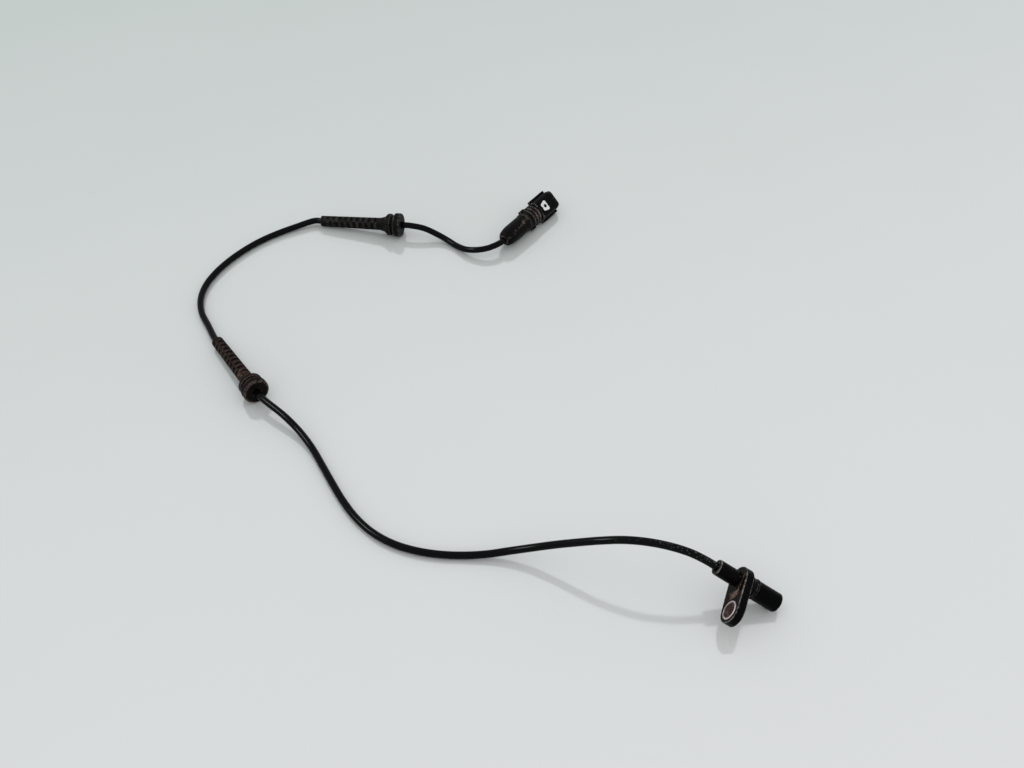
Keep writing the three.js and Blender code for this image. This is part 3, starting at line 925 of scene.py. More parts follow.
FINISHES = {
    Slot.HEAD: Weathered((0.0012, 0.0012, 0.0011), (0.17, 0.12, 0.09), (0.012, 0.007, 0.005), (0.26, 0.24, 0.22),
                         gloss=0.35, dusty=-0.15, film=0.02, shine=0.035),
    Slot.CAP: Weathered((0.0008, 0.0009, 0.0009), (0.05, 0.05, 0.047), (0.003, 0.003, 0.0025), (0.05, 0.05, 0.048),
                        gloss=0.28, matt=0.7, dusty=-0.3, film=0.01, shine=0.03, scuffed=0.5),
    Slot.STEEL: Rusted((0.66, 0.585, 0.58), (0.03, 0.012, 0.009), (0.2, 0.1, 0.09)),
    Slot.INNER: Plain((0.045, 0.048, 0.052)),
    Slot.CHIP: Plain((0.012, 0.012, 0.014), gloss=0.35),
    Slot.MAGNET: Plain((0.42, 0.42, 0.45), gloss=0.35, metal=1.0),
    Slot.CERAMIC: Plain((0.50, 0.33, 0.14)),
    Slot.BRASS: Plain((0.72, 0.56, 0.26), gloss=0.3, metal=1.0),
    Slot.COPPER: Plain((0.62, 0.30, 0.17), gloss=0.32, metal=1.0),
    Slot.SIGNAL: Plain((0.03, 0.11, 0.27)),
    Slot.SUPPLY: Plain((0.15, 0.04, 0.02)),
    Slot.CABLE: Jacket((0.001, 0.0012, 0.0014), (0.42, 0.43, 0.42)),
    Slot.GROMMET: Weathered((0.0042, 0.0029, 0.0027), (0.105, 0.068, 0.045), (0.016, 0.0042, 0.0033),
                            (0.115, 0.08, 0.066), gloss=0.55, grain=0.5, dusty=-0.05, film=0.06, shine=0.05,
                            scuffed=0.2),
    Slot.GROMMET_CLEAN: Weathered((0.0034, 0.0032, 0.003), (0.07, 0.062, 0.056), (0.01, 0.0042, 0.0036),
                                  (0.085, 0.08, 0.074), gloss=0.5, grain=0.5, dusty=-0.05, film=0.05, shine=0.05,
                                  scuffed=0.2),
    Slot.COVER: Weathered((0.0026, 0.0023, 0.0023), (0.11, 0.088, 0.078), (0.009, 0.0055, 0.0045),
                          (0.17, 0.145, 0.13), gloss=0.45, grain=0.6, dusty=0.05, film=0.07, shine=0.045,
                          scuffed=0.5),
    Slot.PLUG: Weathered((0.0018, 0.0018, 0.0019), (0.17, 0.118, 0.09), (0.014, 0.009, 0.007), (0.2, 0.19, 0.18),
                         gloss=0.35, dusty=-0.15, film=0.03, shine=0.045),
    Slot.WHITE: Plain((0.86, 0.86, 0.84), gloss=0.38),
    Slot.SEAL: Plain((0.22, 0.05, 0.035), gloss=0.6),
}


# Assemblies


@dataclass
class SensorHead:
    """The sensor head: trunk, flange with its bolt eye, bushing and cap.

    Attributes:
        place: Where its own axes are, with +X from the cable's end to the tip.
        barrel: The radius of the barrel round the cable, in millimetres as all sizes here.
        flange: The stations of the flange's two faces.
        shoulders: The radii of the trunk's two shoulders, which are sunk into the flange.
        boss: The radius of the flange's end that is round the axis.
        eye: The radius of its other end, round the bolt.
        eye_reach: How far the bolt's axis is from the head's, towards -Y.
        halfway: The reach that parts the flange's outer line from its round hole.
        bushing: The bushing's bore and outer radius.
        bushing_proud: How far the bushing stands out of each face.
        bushing_fit: The gap between the bushing and the flange.
        neck_root: The neck's radius at the flange.
        neck: The neck's radius past its taper.
        neck_stations: Where the taper starts and ends and where the neck ends.
        spigot: The radius and the end station of the spigot inside the cap.
        chamber: The radius of the hollow past the cable's seat.
        rim: The radius and the length of the cap's rim.
        cap: The cap's radius.
        cap_inside: The cap's inner radius.
        cap_end_wall: The thickness of the cap's closed end.
        cap_start: The station of the cap's open end.
        length: The station of the tip.
    """

    place: Placement = HEAD_PLACE
    barrel: float = 5.0
    flange: tuple[float, float] = (15.8, 21.5)
    shoulders: tuple[float, float] = (6.6, 7.8)
    boss: float = 8.9
    eye: float = 8.3
    eye_reach: float = 20.7
    halfway: float = 7.3
    bushing: tuple[float, float] = (4.6, 6.0)
    bushing_proud: float = 0.2
    bushing_fit: float = 0.05
    neck_root: float = 6.9
    neck: float = 6.15
    neck_stations: tuple[float, float, float] = (23.3, 25.3, 26.9)
    spigot: tuple[float, float] = (5.1, 30.5)
    chamber: float = 3.9
    rim: tuple[float, float] = (6.55, 1.1)
    cap: float = 6.2
    cap_inside: float = 5.4
    cap_end_wall: float = 1.1
    cap_start: float = 27.2
    length: float = 45.8

    def drop(self, inset: float) -> np.ndarray:
        """The flange's outline: an arc round the axis and an arc round the bolt, joined by their common tangents.

        Args:
            inset: How far the line is drawn in, in millimetres.

        Returns:
            The line's points in the own Y and Z axes.
        """
        lean = math.asin((self.boss - self.eye) / self.eye_reach)
        arc_points, between = 60, 6
        top = np.linspace(lean - math.pi / 2, math.pi / 2 - lean, arc_points)
        low = np.linspace(math.pi / 2 - lean, 1.5 * math.pi + lean, arc_points)
        line = np.concatenate([
            (self.boss - inset) * np.stack([np.cos(top), np.sin(top)], axis=-1),
            (self.eye - inset) * np.stack([np.cos(low), np.sin(low)], axis=-1) - np.array([self.eye_reach, 0.0]),
        ])
        steps = np.linspace(0, 1, between, endpoint=False)[:, None]
        filled = [a + (b - a) * steps for a, b in zip(line, np.roll(line, -1, axis=0))]
        return np.concatenate(filled)

    def trunk(self) -> Skin:
        """The barrel and the neck round one bore: a circle carried along the axis, with fillets at the flange.

        Returns:
            The closed surface, with more soil on the barrel near the flange, on the eye's side.
        """
        start, end = self.flange
        taper_start, taper_end, neck_end = self.neck_stations
        spigot, spigot_end = self.spigot
        walk = Walk([
            (0, CABLE_BORE, 0.2), (0, self.barrel, 0.55), (start + SUNK, self.barrel, 0.9),
            (start + SUNK, self.shoulders[0], 0.1), (end - SUNK, self.shoulders[1], 0.1),
            (end - SUNK, self.neck_root, 0.6), (taper_start, self.neck_root, 0.5), (taper_end, self.neck, 0.4),
            (neck_end, self.neck, 0.3), (neck_end, spigot, 0.1), (spigot_end, spigot, 0.3),
            (spigot_end, self.chamber, 0.1), (SEAT_DEPTH, self.chamber, 0.1), (SEAT_DEPTH, CABLE_BORE, 0.1),
        ], closed=True, step=0.9, band=0.2)
        skin = swept(Circle(), walk)
        x, y = skin.points[..., 0], skin.points[..., 1]
        skin.soil[:] = 0.12 + 0.5 * np.exp(-((x - 13.5) / 3.2) ** 2) * np.clip(0.4 - y / 8, 0, 1)
        return skin

    def plate(self) -> Skin:
        """The flange: its outline carried through its thickness and back through the eye's hole.

        Returns:
            The closed surface. The soil on its cable side is a bell between barrel and eye, and a band along the rim
            that is a painted highlight of the edge.
        """
        start, end = self.flange
        hole = self.bushing[1] + self.bushing_fit
        outline = HoledPlate(self.drop, (-self.eye_reach, 0.0), self.boss, self.halfway)
        walk = Walk([
            (start, self.boss, 0.5), (end, self.boss, 0.5), (end, hole, 0.25), (start, hole, 0.25),
        ], closed=True, step=40, band=0.2)
        skin = swept(outline, walk).refined(0.9)
        x, y, z = np.moveaxis(skin.points, -1, 0)
        back = np.clip((start + 0.4 - x) / 0.4, 0, 1)
        smear = np.exp(-((y + 10.3) / 4.4) ** 2 - ((z - 0.5) / 6.5) ** 2)
        # Painted highlight: a lighter band along the rim of the cable-side face, where the edge catches the light.
        band = np.exp(-((z - 5.6 - 0.3 * y) / 1.1) ** 2) * np.clip((y + 10) / 3, 0, 1)
        skin.soil[:] = 0.1 + back * (0.3 + 1.12 * smear + 0.7 * band)
        return skin

    def build(self, materials: dict) -> list[bpy.types.Object]:
        """Builds the head's pieces.

        Args:
            materials: The materials by slot.

        Returns:
            The objects.
        """
        pieces = (
            ("head_moulding", [self.trunk(), self.plate()], Slot.HEAD, "sensor_body"),
            ("head_bushing", [self.ring()], Slot.STEEL, "mounting_bushing"),
            ("head_cap", [self.sleeve()], Slot.CAP, "plunger_cap"),
        )
        return [Piece(name, skins, self.place, slot, materials[slot], [node]).build()
                for name, skins, slot, node in pieces]

    def ring(self) -> Skin:
        """The bushing: a circle round the bolt's axis, carried through the flange and back along the bore.

        Returns:
            The closed surface, with soil in the bore and at its edges.
        """
        start, end = self.flange[0] - self.bushing_proud, self.flange[1] + self.bushing_proud
        bore, outer = self.bushing
        walk = Walk([(start, bore, 0.3), (start, outer, 0.25), (end, outer, 0.25), (end, bore, 0.3)],
                    closed=True, step=0.6, band=0.1)
        skin = swept(Circle(), walk, across=(-self.eye_reach, 0.0))
        distance = np.hypot(skin.points[..., 1] + self.eye_reach, skin.points[..., 2])
        skin.soil[:] = np.clip((bore + 0.75 - distance) * 2.5, 0, 1)
        return skin

    def sleeve(self) -> Skin:
        """The cap: a circle carried from the middle of its end wall out, round the rim and on to the tip.

        Returns:
            The closed surface.
        """
        inner_end = self.length - self.cap_end_wall
        rim, rim_length = self.rim
        rim_end = self.cap_start + rim_length
        walk = Walk([
            (inner_end, 0, 0), (inner_end, self.cap_inside, 0.2), (self.cap_start, self.cap_inside, 0.1),
            (self.cap_start, rim, 0.3), (rim_end, rim, 0.3), (rim_end + 0.05, self.cap, 0.15),
            (self.length, self.cap, 1.0), (self.length, 0, 0),
        ], step=1.2)
        return swept(Circle(), walk)


@dataclass
class Grommet:
    """One slotted rubber sleeve with its bracket groove and disc.

    Attributes:
        node: The CAD node that it stands for.
        name: The piece's name.
        place: Where its own axes are, with +X from the disc's face to the small end.
        grime: How dirty it is on its cone and towards its small end.
        finish: The finish that it wears.
        disc: The disc's radius, in millimetres as all sizes here.
        thick: Its thickness.
        groove: The groove's radius and the station where it ends.
        ring: The radius of the ring past the groove and the station where it ends.
        waist: The station and the radius in the middle of the hollow cone.
        root: The sleeve's radius at the cone.
        end: Its radius at the small end.
        slot_width: The width of each slot.
        slot_wall: How far each of its walls leans.
        pitch: The distance between two slots.
        floor: The distance from the axis to a slot's floor.
        sleeve_start: The station where the sleeve starts.
        margin: How far the slots keep from the sleeve's ends.
    """

    node: str
    name: str
    place: Placement
    grime: tuple[float, float]
    finish: Slot
    disc: float = 9.6
    thick: float = 6.0
    groove: tuple[float, float] = (7.0, 8.5)
    ring: tuple[float, float] = (8.9, 11.5)
    waist: tuple[float, float] = (14.2, 6.3)
    root: float = 5.1
    end: float = 4.4
    slot_width: float = 1.3
    slot_wall: float = 0.15
    pitch: float = 2.6
    floor: float = 3.7
    sleeve_start: float = 18.5
    margin: float = 3.4

    def slots(self) -> np.ndarray:
        """The slots' stations."""
        return np.arange(self.sleeve_start + self.margin, GROMMET_LENGTH - self.margin, self.pitch)

    def build(self, materials: dict) -> bpy.types.Object:
        """Builds the grommet: a circle carried along the axis and back through the bore, with the slots cut.

        Args:
            materials: The materials by slot.

        Returns:
            The object.
        """
        last = GROMMET_LENGTH
        groove, groove_end = self.groove
        ring, ring_end = self.ring
        outside = [
            (0, CABLE_BORE + 0.5, 0.3), (0, self.disc, 1.5), (self.thick, self.disc, 1.0),
            (self.thick, groove, 0.5), (groove_end, groove, 0.4), (groove_end, ring, 0.8), (ring_end, ring, 1.2),
            (*self.waist, 3.0), (self.sleeve_start, self.root, 4.0),
        ]
        half, wall = self.slot_width / 2, self.slot_wall
        cuts = (self.slots()[:, None] + np.array([-half - wall, -half, half, half + wall])).ravel()
        slope = (self.root - self.end) / (last - self.sleeve_start)
        sleeve = [(x, self.root - slope * (x - self.sleeve_start), 0.01) for x in cuts]
        tail = [
            (last, self.end, 0.5), (last, CABLE_BORE + 0.3, 0.2), (last - 1.2, CABLE_BORE, 0.3), (1.2, CABLE_BORE, 0.3),
        ]
        walk = Walk(outside + sleeve + tail, closed=True, step=1.2, band=0.12, arc_steps=4)
        skin = swept(Circle(128), walk)
        self.cut(skin)
        x, y, z = np.moveaxis(skin.points, -1, 0)
        cone = np.exp(-((x - 19.0) / 9.0) ** 2) * np.clip(0.6 + (y + z) / 14, 0, 1)
        skin.soil[:] = 0.25 + self.grime[0] * cone + self.grime[1] * np.clip(x / last - 0.3, 0, 1)
        piece = Piece(self.name, [skin], self.place, Slot.GROMMET, materials[self.finish], [self.node])
        return piece.build()

    def cut(self, skin: Skin) -> None:
        """Cuts the slots: inside one, the surface goes no further out than a flat floor on each of two sides.

        Args:
            skin: The grommet's surface, changed in place.
        """
        x = skin.points[..., 0]
        outer = np.hypot(skin.points[..., 1], skin.points[..., 2]) > self.end - 1.0
        reach = self.slot_width / 2 + 0.01
        for i, station in enumerate(self.slots()):
            axis = 2 if i % 2 == 0 else 1
            inside = outer & (np.abs(x - station) < reach) & (np.abs(skin.points[..., axis]) > self.floor)
            skin.points[..., axis] = np.where(
                inside, np.copysign(self.floor, skin.points[..., axis]), skin.points[..., axis])
            # The ridges beside each slot take the lighter edge colour, part wear and part painted highlight.
            skin.edge[outer & ~inside & (np.abs(x - station) < reach + 0.3)] = 0.55
            skin.edge[inside] = -1.0


@dataclass
class Plug:
    """The two-way plug: rear cover, housing and lock ring.

    Attributes:
        place: Where its own axes are, with +X from the cable's end to the mouth.
        cover: The rear cover's radius, in millimetres as all sizes here.
        cover_end: The station where it ends.
        collar: The radius and the length of its collar round the cable.
        shoulder: The step between collar and dome.
        dome: The length of its round end.
        lip: The height of its lip and the station where the lip starts.
        throat: The radius of its wide bore and the station where that starts.
        neck_start: The station where the housing's ribbed middle starts.
        neck: The middle's radius.
        spigot: The start and the radius of the spigot inside the cover.
        rib_places: The distances of the ribs from the block.
        rib_widths: Half of each rib's width at its foot and at its top.
        rib_height: How far they stand out.
        block_start: The station where the front block starts.
        block_end: The station where it ends.
        nose_end: The station of the mouth's rim.
        nose_inset: How far the nose lies inside the block's outline.
        block: The block's outline.
        mouth: The mouth's outline.
        mouth_floor: The station of the mouth's floor.
        rail_width: The width over both side rails.
        lug_width: The width over both side lugs.
        arm_offset: The distance of the arms between lugs and rails from the axis.
        ring_centre: The station of the lock ring's middle.
        ring_hole: The radius of its hole.
        ring_depth: How deep it is let in.
        ring_proud: How far it stands out.
    """

    place: Placement = PLUG_PLACE
    cover: float = 7.6
    cover_end: float = 30.0
    collar: tuple[float, float] = (4.1, 1.2)
    shoulder: float = 0.3
    dome: float = 11.0
    lip: tuple[float, float] = (0.4, 28.4)
    throat: tuple[float, float] = (6.1, 13.0)
    neck_start: float = 30.3
    neck: float = 7.4
    spigot: tuple[float, float] = (19.0, 5.8)
    rib_places: tuple[float, float, float] = (10.4, 6.7, 3.0)
    rib_widths: tuple[float, float] = (0.9, 0.55)
    rib_height: float = 0.7
    block_start: float = 45.3
    block_end: float = 65.9
    nose_end: float = 68.5
    nose_inset: float = 0.7
    block: RoundedRectangle = RoundedRectangle(17.0, 13.2, 4.0)
    mouth: RoundedRectangle = RoundedRectangle(11.0, 9.2, 1.5)
    mouth_floor: float = 56.0
    rail_width: float = 21.5
    lug_width: float = 19.0
    arm_offset: float = 7.6
    ring_centre: float = 52.8
    ring_hole: float = 1.5
    ring_depth: float = 1.0
    ring_proud: float = 0.1

    def rear_cover(self, materials: dict) -> bpy.types.Object:
        """Builds the rubber sleeve over the wires: a circle carried over a quarter ellipse, along it and back inside.

        Args:
            materials: The materials by slot.

        Returns:
            The object, with a streak of soil along its top and one round it.
        """
        collar, collar_length = self.collar
        foot = collar + self.shoulder
        dome = [(collar_length + self.dome * (1 - math.cos(a)), foot + (self.cover - foot) * math.sin(a), 0.05)
                for a in np.linspace(0, math.pi / 2, 13)]
        lip, lip_start = self.cover + self.lip[0], self.lip[1]
        throat, throat_start = self.throat
        walk = Walk([
            (0, CABLE_BORE, 0.2), (0, collar, 0.4), *dome, (lip_start, self.cover, 0.2), (lip_start, lip, 0.25),
            (self.cover_end, lip, 0.25), (self.cover_end, throat, 0.15), (throat_start, throat, 0.3),
            (throat_start, CABLE_BORE, 0.2),
        ], closed=True, step=1.0)
        skin = swept(Circle(), walk)
        x, y, z = np.moveaxis(skin.points, -1, 0)
        streak = np.exp(-((y + 1.5 - 0.12 * x) / 1.8) ** 2) + np.exp(-((x - 22.5) / 1.5) ** 2) * 0.7
        skin.soil[:] = 0.15 + 0.75 * streak * np.clip(0.5 + z / 4, 0, 1)
        return Piece("plug_rear_cover", [skin], self.place, Slot.COVER, materials[Slot.COVER],
                     ["rear_cover"]).build()

    def front(self) -> Skin:
        """The front block, its nose and its mouth: the block's outline carried forward, the mouth's carried back.

        Returns:
            The closed surface, with soil towards its rear.
        """
        half, mouth = self.block.height / 2, self.mouth.height / 2
        nose = half - self.nose_inset
        walk = Walk([
            (self.block_start, 0, 0), (self.block_start, half, 0.6), (self.block_end, half, 0.5),
            (self.block_end + 0.05, nose, 0.3), (self.nose_end, nose, 0.6), (self.nose_end, mouth, 0.25),
            (self.mouth_floor, mouth, 0.3), (self.mouth_floor, 0, 0),
        ], step=1.2)
        skin = swept(Mouthed(self.block, self.mouth, (mouth + nose) / 2), walk)
        skin.soil[:] = np.clip((self.block_start + 3.0 - skin.points[..., 0]) / 3.0, 0.05, 0.7)
        return skin

    def middle(self) -> Skin:
        """The round middle with its ribs and the spigot inside the rear cover: a circle carried along the axis.

        Returns:
            The closed surface, with most soil on the ribs' crests, on one side.
        """
        foot, crest = self.rib_widths
        top = self.neck + self.rib_height
        ribs = []
        for distance in self.rib_places:
            centre = self.block_start - distance
            ribs += [(centre - foot, self.neck, 0.25), (centre - crest, top, 0.3), (centre + crest, top, 0.3),
                     (centre + foot, self.neck, 0.25)]
        start, spigot = self.spigot
        walk = Walk([
            (start, 0, 0), (start, spigot, 0.3), (self.neck_start, spigot, 0.05), (self.neck_start, self.neck, 0.3),
            *ribs, (self.block_start + 1, self.neck, 0.05), (self.block_start + 1, 0, 0),
        ], step=1.5)
        skin = swept(Circle(), walk)
        x, y, z = np.moveaxis(skin.points, -1, 0)
        high = np.clip(np.hypot(y, z) - self.neck + 0.2, 0, 1)
        skin.soil[:] = 0.25 + np.exp(-((x - 40.0) / 4.8) ** 2) * np.clip(0.8 - y / 12, 0, 1) * (0.55 + 0.5 * high)
        return skin

    def build(self, materials: dict) -> list[bpy.types.Object]:
        """Builds the plug's pieces.

        Args:
            materials: The materials by slot.

        Returns:
            The objects.
        """
        skins = [self.middle(), self.front()]
        for side in (-1, 1):
            rail = (side * (self.rail_width / 2 - 1.6), 0.0)
            skins.append(beam(self.block_start, self.block_end, 3.2, 2.2, 0.35, 0.15, rail))
            lug = (side * (self.lug_width / 2 - 1.8), 0.0)
            skins.append(beam(self.neck_start + 0.6, self.neck_start + 6.0, 3.6, 3.0, 0.6, 0.35, lug))
            arm = (side * self.arm_offset, 0.0)
            skins.append(beam(self.neck_start + 0.7, self.block_start + 1, 2.0, 1.2, 0.3, 0.45, arm))
            # Painted highlight: the arms' edge values are raised so that more of them take the lighter edge colour, a
            # highlight along the arms.
            skins[-1].edge += 0.5
        housing = Piece("plug_shell", skins, self.place, Slot.PLUG, materials[Slot.PLUG], ["plug_housing"]).build()
        return [self.rear_cover(materials), housing, self.lock_ring(materials)]

    def lock_ring(self, materials: dict) -> bpy.types.Object:
        """Builds the white lock ring: a plate with a hole, let into the block's top, widest towards the mouth.

        Args:
            materials: The materials by slot.

        Returns:
            The object.
        """
        full, hole = 4.0, self.ring_hole
        outline = HoledPlate(self.lock_line, (0.4, 0.0), full, 2.0, columns=120)
        top = self.block.height / 2 + self.ring_proud
        foot = self.block.height / 2 - self.ring_depth
        walk = Walk([(top, hole, 0.15), (foot, hole, 0.1), (foot, full, 0.1), (top, full, 0.25)], closed=True)
        skin = swept(outline, walk)
        height, along, side = np.moveaxis(skin.points.copy(), -1, 0)
        skin.points = np.stack([self.ring_centre + along, side, height], axis=-1)
        return Piece("plug_lock_ring", [skin], self.place, Slot.WHITE, materials[Slot.WHITE],
                     ["lock_insert"]).build()

    @staticmethod
    def lock_line(inset: float) -> np.ndarray:
        """The lock ring's outer line: the hull of four discs, with a notch in the middle of its rear side.

        Args:
            inset: How far it is drawn in, in millimetres.

        Returns:
            Points in order round the line.
        """
        centres = np.array([[-1.9, 1.9], [-1.9, -1.9], [1.9, 2.9], [1.9, -2.9]])
        corner, notch_depth, notch_width = 1.5, 0.7, 0.8
        radius = corner - inset
        angle = np.linspace(-math.pi, math.pi, 240, endpoint=False)
        ways = np.stack([np.cos(angle), np.sin(angle)], axis=-1)
        line = centres[np.argmax(centres @ ways.T, axis=0)] + radius * ways
        steps = np.linspace(0, 1, 16, endpoint=False)[:, None]
        line = np.concatenate([a + (b - a) * steps for a, b in zip(line, np.roll(line, -1, axis=0))])
        notch = notch_depth * np.exp(-(line[:, 1] / notch_width) ** 2) * (line[:, 0] < 0)
        return line + np.stack([notch, np.zeros(len(line))], axis=-1)


@dataclass
class Lead:
    """The cable from the head through both grommets to the plug.

    Attributes:
        sections: The points round it.
        step: The distance between two rings, in millimetres.
        speck_reach: How far from the head the specks, part dirt and part painted highlight, go on, in millimetres.
    """

    sections: int = 20
    step: float = 2.0
    speck_reach: float = 110.0

    def stations(self) -> np.ndarray:
        """The listed points, with those in the head, the grommets and the plug put between them.

        Returns:
            Points in order from the head to the plug, in metres.
        """
        through = [-GROMMET_LEAD_OUT, 0, GROMMET_LENGTH / 2, GROMMET_LENGTH, GROMMET_LENGTH + GROMMET_LEAD_OUT]
        return np.array([
            *(HEAD_PLACE.on_axis(x) for x in (SEAT_DEPTH, SEAT_DEPTH / 2, 0, -STRAIGHT_EXIT)), *ARCH_ROUTE,
            *(LOWER_PLACE.on_axis(x) for x in through), *LOOP_ROUTE,
            *(UPPER_PLACE.on_axis(x) for x in reversed(through)), *PLUG_ROUTE,
            *(PLUG_PLACE.on_axis(x) for x in (-PLUG_LEAD_IN, 0, JACKET_END / 2, JACKET_END)),
        ])

    def centreline(self) -> np.ndarray:
        """A curve through the stations, resampled at an even step.

        Between two stations it is a centripetal Catmull-Rom cubic: six blends in which the times are the square roots
        of the distances, summed up.

        Returns:
            Points in metres.
        """
        knots = self.stations()
        knots = np.concatenate([[2 * knots[0] - knots[1]], knots, [2 * knots[-1] - knots[-2]]])
        share = np.linspace(0, 1, 12, endpoint=False)[:, None]
        line = []
        for p0, p1, p2, p3 in zip(knots, knots[1:], knots[2:], knots[3:]):
            t1 = np.linalg.norm(p1 - p0) ** 0.5
            t2 = t1 + np.linalg.norm(p2 - p1) ** 0.5
            t3 = t2 + np.linalg.norm(p3 - p2) ** 0.5
            t = t1 + (t2 - t1) * share
            a1 = (t1 - t) / t1 * p0 + t / t1 * p1
            a2 = (t2 - t) / (t2 - t1) * p1 + (t - t1) / (t2 - t1) * p2
            a3 = (t3 - t) / (t3 - t2) * p2 + (t - t2) / (t3 - t2) * p3
            b1 = (t2 - t) / t2 * a1 + t / t2 * a2
            b2 = (t3 - t) / (t3 - t1) * a2 + (t - t1) / (t3 - t1) * a3
            line.append((t2 - t) / (t2 - t1) * b1 + (t - t1) / (t2 - t1) * b2)
        line = np.concatenate([*line, knots[-2][None]])
        gone = np.concatenate([[0], np.cumsum(np.linalg.norm(np.diff(line, axis=0), axis=1))])
        even = np.linspace(0, gone[-1], round(gone[-1] / (self.step * MM)) + 1)
        return np.stack([np.interp(even, gone, line[:, k]) for k in range(3)], axis=-1)

    def skin(self, line: np.ndarray) -> Skin:
        """The tube: a circle carried along the centreline, with its two axes kept free of twist.

        Args:
            line: The centreline in metres.

        Returns:
            The closed surface, in millimetres in the row frame.
        """
        line = line / MM
        ahead = np.gradient(line, axis=0)
        ahead /= np.linalg.norm(ahead, axis=1)[:, None]
        side = np.cross((0, 0, 1.0), ahead[0])
        sides = []
        for way in ahead:
            side = side - way * (side @ way)
            side = side / np.linalg.norm(side)
            sides.append(side)
        sides = np.array(sides)
        ups = np.cross(ahead, sides)
        angle = np.linspace(0, 2 * math.pi, self.sections, endpoint=False)[None, :, None]
        tube = line[:, None] + CABLE_RADIUS * (np.cos(angle) * sides[:, None] + np.sin(angle) * ups[:, None])
        ends = [np.broadcast_to(line[i], (1, self.sections, 3)) for i in (0, -1)]
        points = np.concatenate([ends[0], tube, ends[1]])
        near = np.linalg.norm(points - line[0], axis=-1)
        upper = np.sin(angle[0, :, 0])
        # Painted highlight: the specks' soil lies on the upper side of the cable near the head, where they stand partly
        # for a highlight broken into dots.
        soil = np.clip(1.2 - near / self.speck_reach, 0, 1) * np.clip(1.4 * upper - 0.2, 0, 1)
        return Skin(points, np.zeros(points.shape[:2]), soil, closed=False)

    def build(self, materials: dict, riders: list) -> bpy.types.Object:
        """Args:
            materials: The materials by slot.
            riders: The pieces that are on the cable. Not used.

        Returns:
            The cable's object.
        """
        line = self.centreline()
        length = float(np.linalg.norm(np.diff(line, axis=0), axis=1).sum())
        log.info("cable length %.1f mm", length / MM)
        place = Placement((0.0, 0.0, 0.0))
        cable = Piece("lead_cable", [self.skin(line)], place, Slot.CABLE, materials[Slot.CABLE], ["cable"]).build()
        HEAD_PLACE.on_axis(0)
        return cable


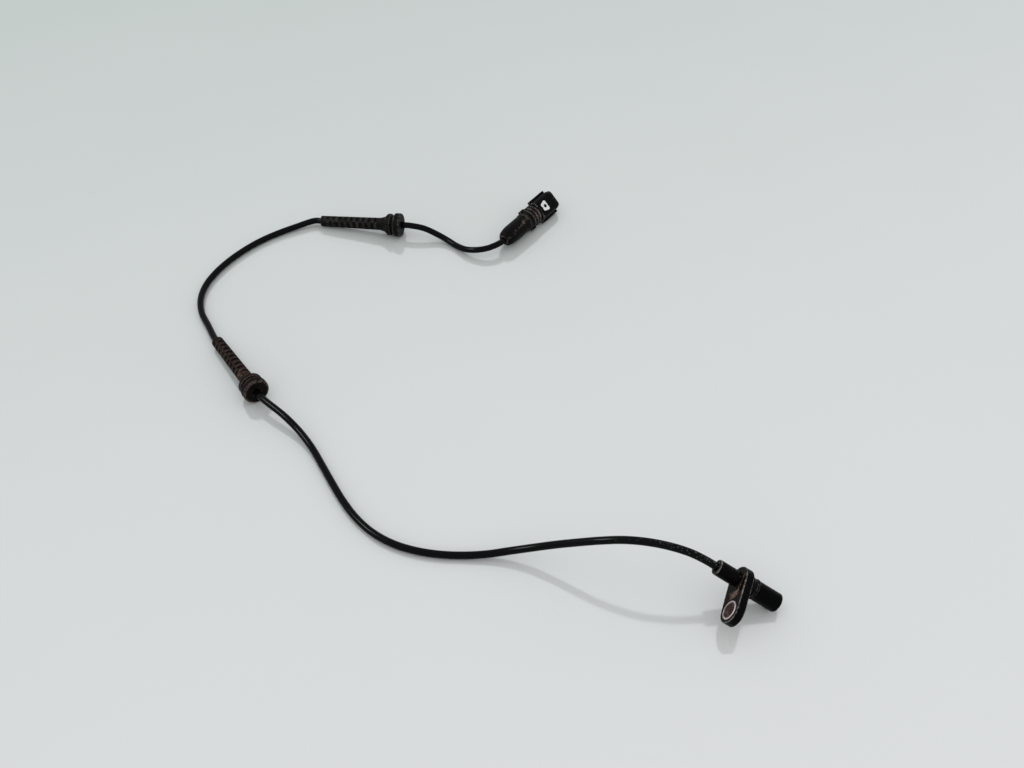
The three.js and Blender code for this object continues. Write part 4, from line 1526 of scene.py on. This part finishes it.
@dataclass(frozen=True)
class Studio:
    """The camera, the pale surface and the soft light.

    Attributes:
        eye: The camera's place, in metres.
        gaze: The way it looks.
        lens: Its focal length on a sensor 36 mm wide.
        surface: The surface's colour near the head.
        far: Its colour at the far left, a painted shade where less light falls.
        reach: Half the surface's width, in metres.
        sky: How strong the even sky is.
        sky_colour: The sky's colour.
        window: The window lamp's power, in watts.
        window_place: The window lamp's place.
        window_size: Its width and height.
        window_aim: The point that it faces.
    """

    eye: tuple[float, float, float] = (-0.0412, -0.3853, 0.575)
    gaze: tuple[float, float, float] = (-0.1782, 0.6714, -0.7193)
    lens: float = 38.67
    surface: Colour = (0.92, 0.92, 0.90)
    far: Colour = (0.60, 0.67, 0.62)
    reach: float = 6.0
    sky: float = 0.8
    sky_colour: Colour = (0.95, 0.975, 1.0)
    window: float = 12.5
    window_place: tuple[float, float, float] = (-1.33, -0.18, 1.385)
    window_size: tuple[float, float] = (0.45, 0.3)
    window_aim: tuple[float, float, float] = (-0.2, 0.15, 0.0)

    def camera(self) -> None:
        """Makes the camera with the photograph's viewing angle."""
        data = bpy.data.cameras.new("camera")
        data.lens = self.lens
        data.sensor_width = 36.0
        camera = bpy.data.objects.new("camera", data)
        camera.location = self.eye
        camera.rotation_euler = Vector(self.gaze).to_track_quat("-Z", "Y").to_euler()
        bpy.context.scene.collection.objects.link(camera)
        bpy.context.scene.camera = camera

    def floor(self) -> bpy.types.Object:
        """Makes the pale glossy surface that the part lies on, with painted shade that makes it slightly darker towards
        the far left.

        Returns:
            The surface's object.
        """
        tree = Tree("surface")
        mottle = tree.noise(160.0, 3.0)
        nearer = {0: tree.place, 1: (0.6, -0.8, 0.0)}
        across = tree.output("ShaderNodeVectorMath", {"operation": "DOT_PRODUCT"}, nearer, "Value")
        # Painted shade: the surface's colour falls off towards the far left, standing in for less light there.
        colour = tree.blend((across + mottle * 0.15).step(-1.3, 0.35), self.far, self.surface)
        inputs = {"Base Color": colour, "Roughness": 0.1, "IOR": 2.5}
        material = tree.finish(inputs, mottle, 0.0)
        mesh = bpy.data.meshes.new("surface")
        reach = self.reach
        mesh.from_pydata([(-reach, -reach, 0), (reach, -reach, 0), (reach, reach, 0), (-reach, reach, 0)], [],
                         [(0, 1, 2, 3)])
        mesh.materials.append(material)
        floor = bpy.data.objects.new("surface", mesh)
        bpy.context.scene.collection.objects.link(floor)
        return floor

    def light(self, floor: bpy.types.Object) -> None:
        """Makes the soft light: an even sky, and a window at the left that gives the highlights.

        Args:
            floor: The surface, which the window leaves alone, so that it isn't mirrored there.
        """
        world = bpy.data.worlds.new("sky")
        world.use_nodes = True
        sky = world.node_tree.nodes["Background"]
        sky.inputs[0].default_value = (*self.sky_colour, 1.0)
        sky.inputs[1].default_value = self.sky
        bpy.context.scene.world = world
        place = Vector(self.window_place)
        data = bpy.data.lights.new("window", "AREA")
        data.shape = "RECTANGLE"
        data.size, data.size_y = self.window_size
        data.energy = self.window
        lamp = bpy.data.objects.new("window", data)
        lamp.location = place
        lamp.rotation_euler = (Vector(self.window_aim) - place).to_track_quat("-Z", "Y").to_euler()
        bpy.context.scene.collection.objects.link(lamp)
        spared = bpy.data.collections.new("spared")
        spared.objects.link(floor)
        spared.collection_objects[0].light_linking.link_state = "EXCLUDE"
        lamp.light_linking.receiver_collection = spared


CAD_KEPT = {
    "element_carrier": Slot.INNER, "sensing_chip": Slot.CHIP, "bias_magnet": Slot.MAGNET,
    "suppression_capacitor": Slot.CERAMIC, "lead_signal": Slot.BRASS, "lead_supply": Slot.BRASS,
    "head_crimp_signal": Slot.COPPER, "head_crimp_supply": Slot.COPPER, "head_core_signal": Slot.SIGNAL,
    "head_core_supply": Slot.SUPPLY, "pin_signal": Slot.BRASS, "pin_supply": Slot.BRASS,
    "wire_seal_signal": Slot.SEAL, "wire_seal_supply": Slot.SEAL, "plug_core_signal": Slot.SIGNAL,
    "plug_core_supply": Slot.SUPPLY,
}
PLUG_NODES = ("pin_signal", "pin_supply", "wire_seal_signal", "wire_seal_supply", "plug_core_signal",
              "plug_core_supply")


def main() -> None:
    """Builds the scene."""
    logging.basicConfig(level=logging.INFO, format="%(name)s %(message)s")
    bpy.context.scene.view_settings.view_transform = "Standard"
    studio = Studio()
    studio.camera()
    materials = {slot: finish.build(slot.value) for slot, finish in FINISHES.items()}
    grommets = [
        Grommet("grommet_lower", "lower_grommet", LOWER_PLACE, (0.75, 0.5), Slot.GROMMET).build(materials),
        Grommet("grommet_upper", "upper_grommet", UPPER_PLACE, (0.15, 0.4), Slot.GROMMET_CLEAN).build(materials),
    ]
    plug = Plug().build(materials)
    kept = [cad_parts[name] for name in PLUG_NODES]
    Lead().build(materials, [*grommets, *plug, *kept])
    SensorHead().build(materials)
    for name, slot in CAD_KEPT.items():
        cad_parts[name].material_slots[0].material = materials[slot]
        log.info("%s: kept from the solids", name)
    studio.light(studio.floor())


if __name__ == "__main__":
    main()
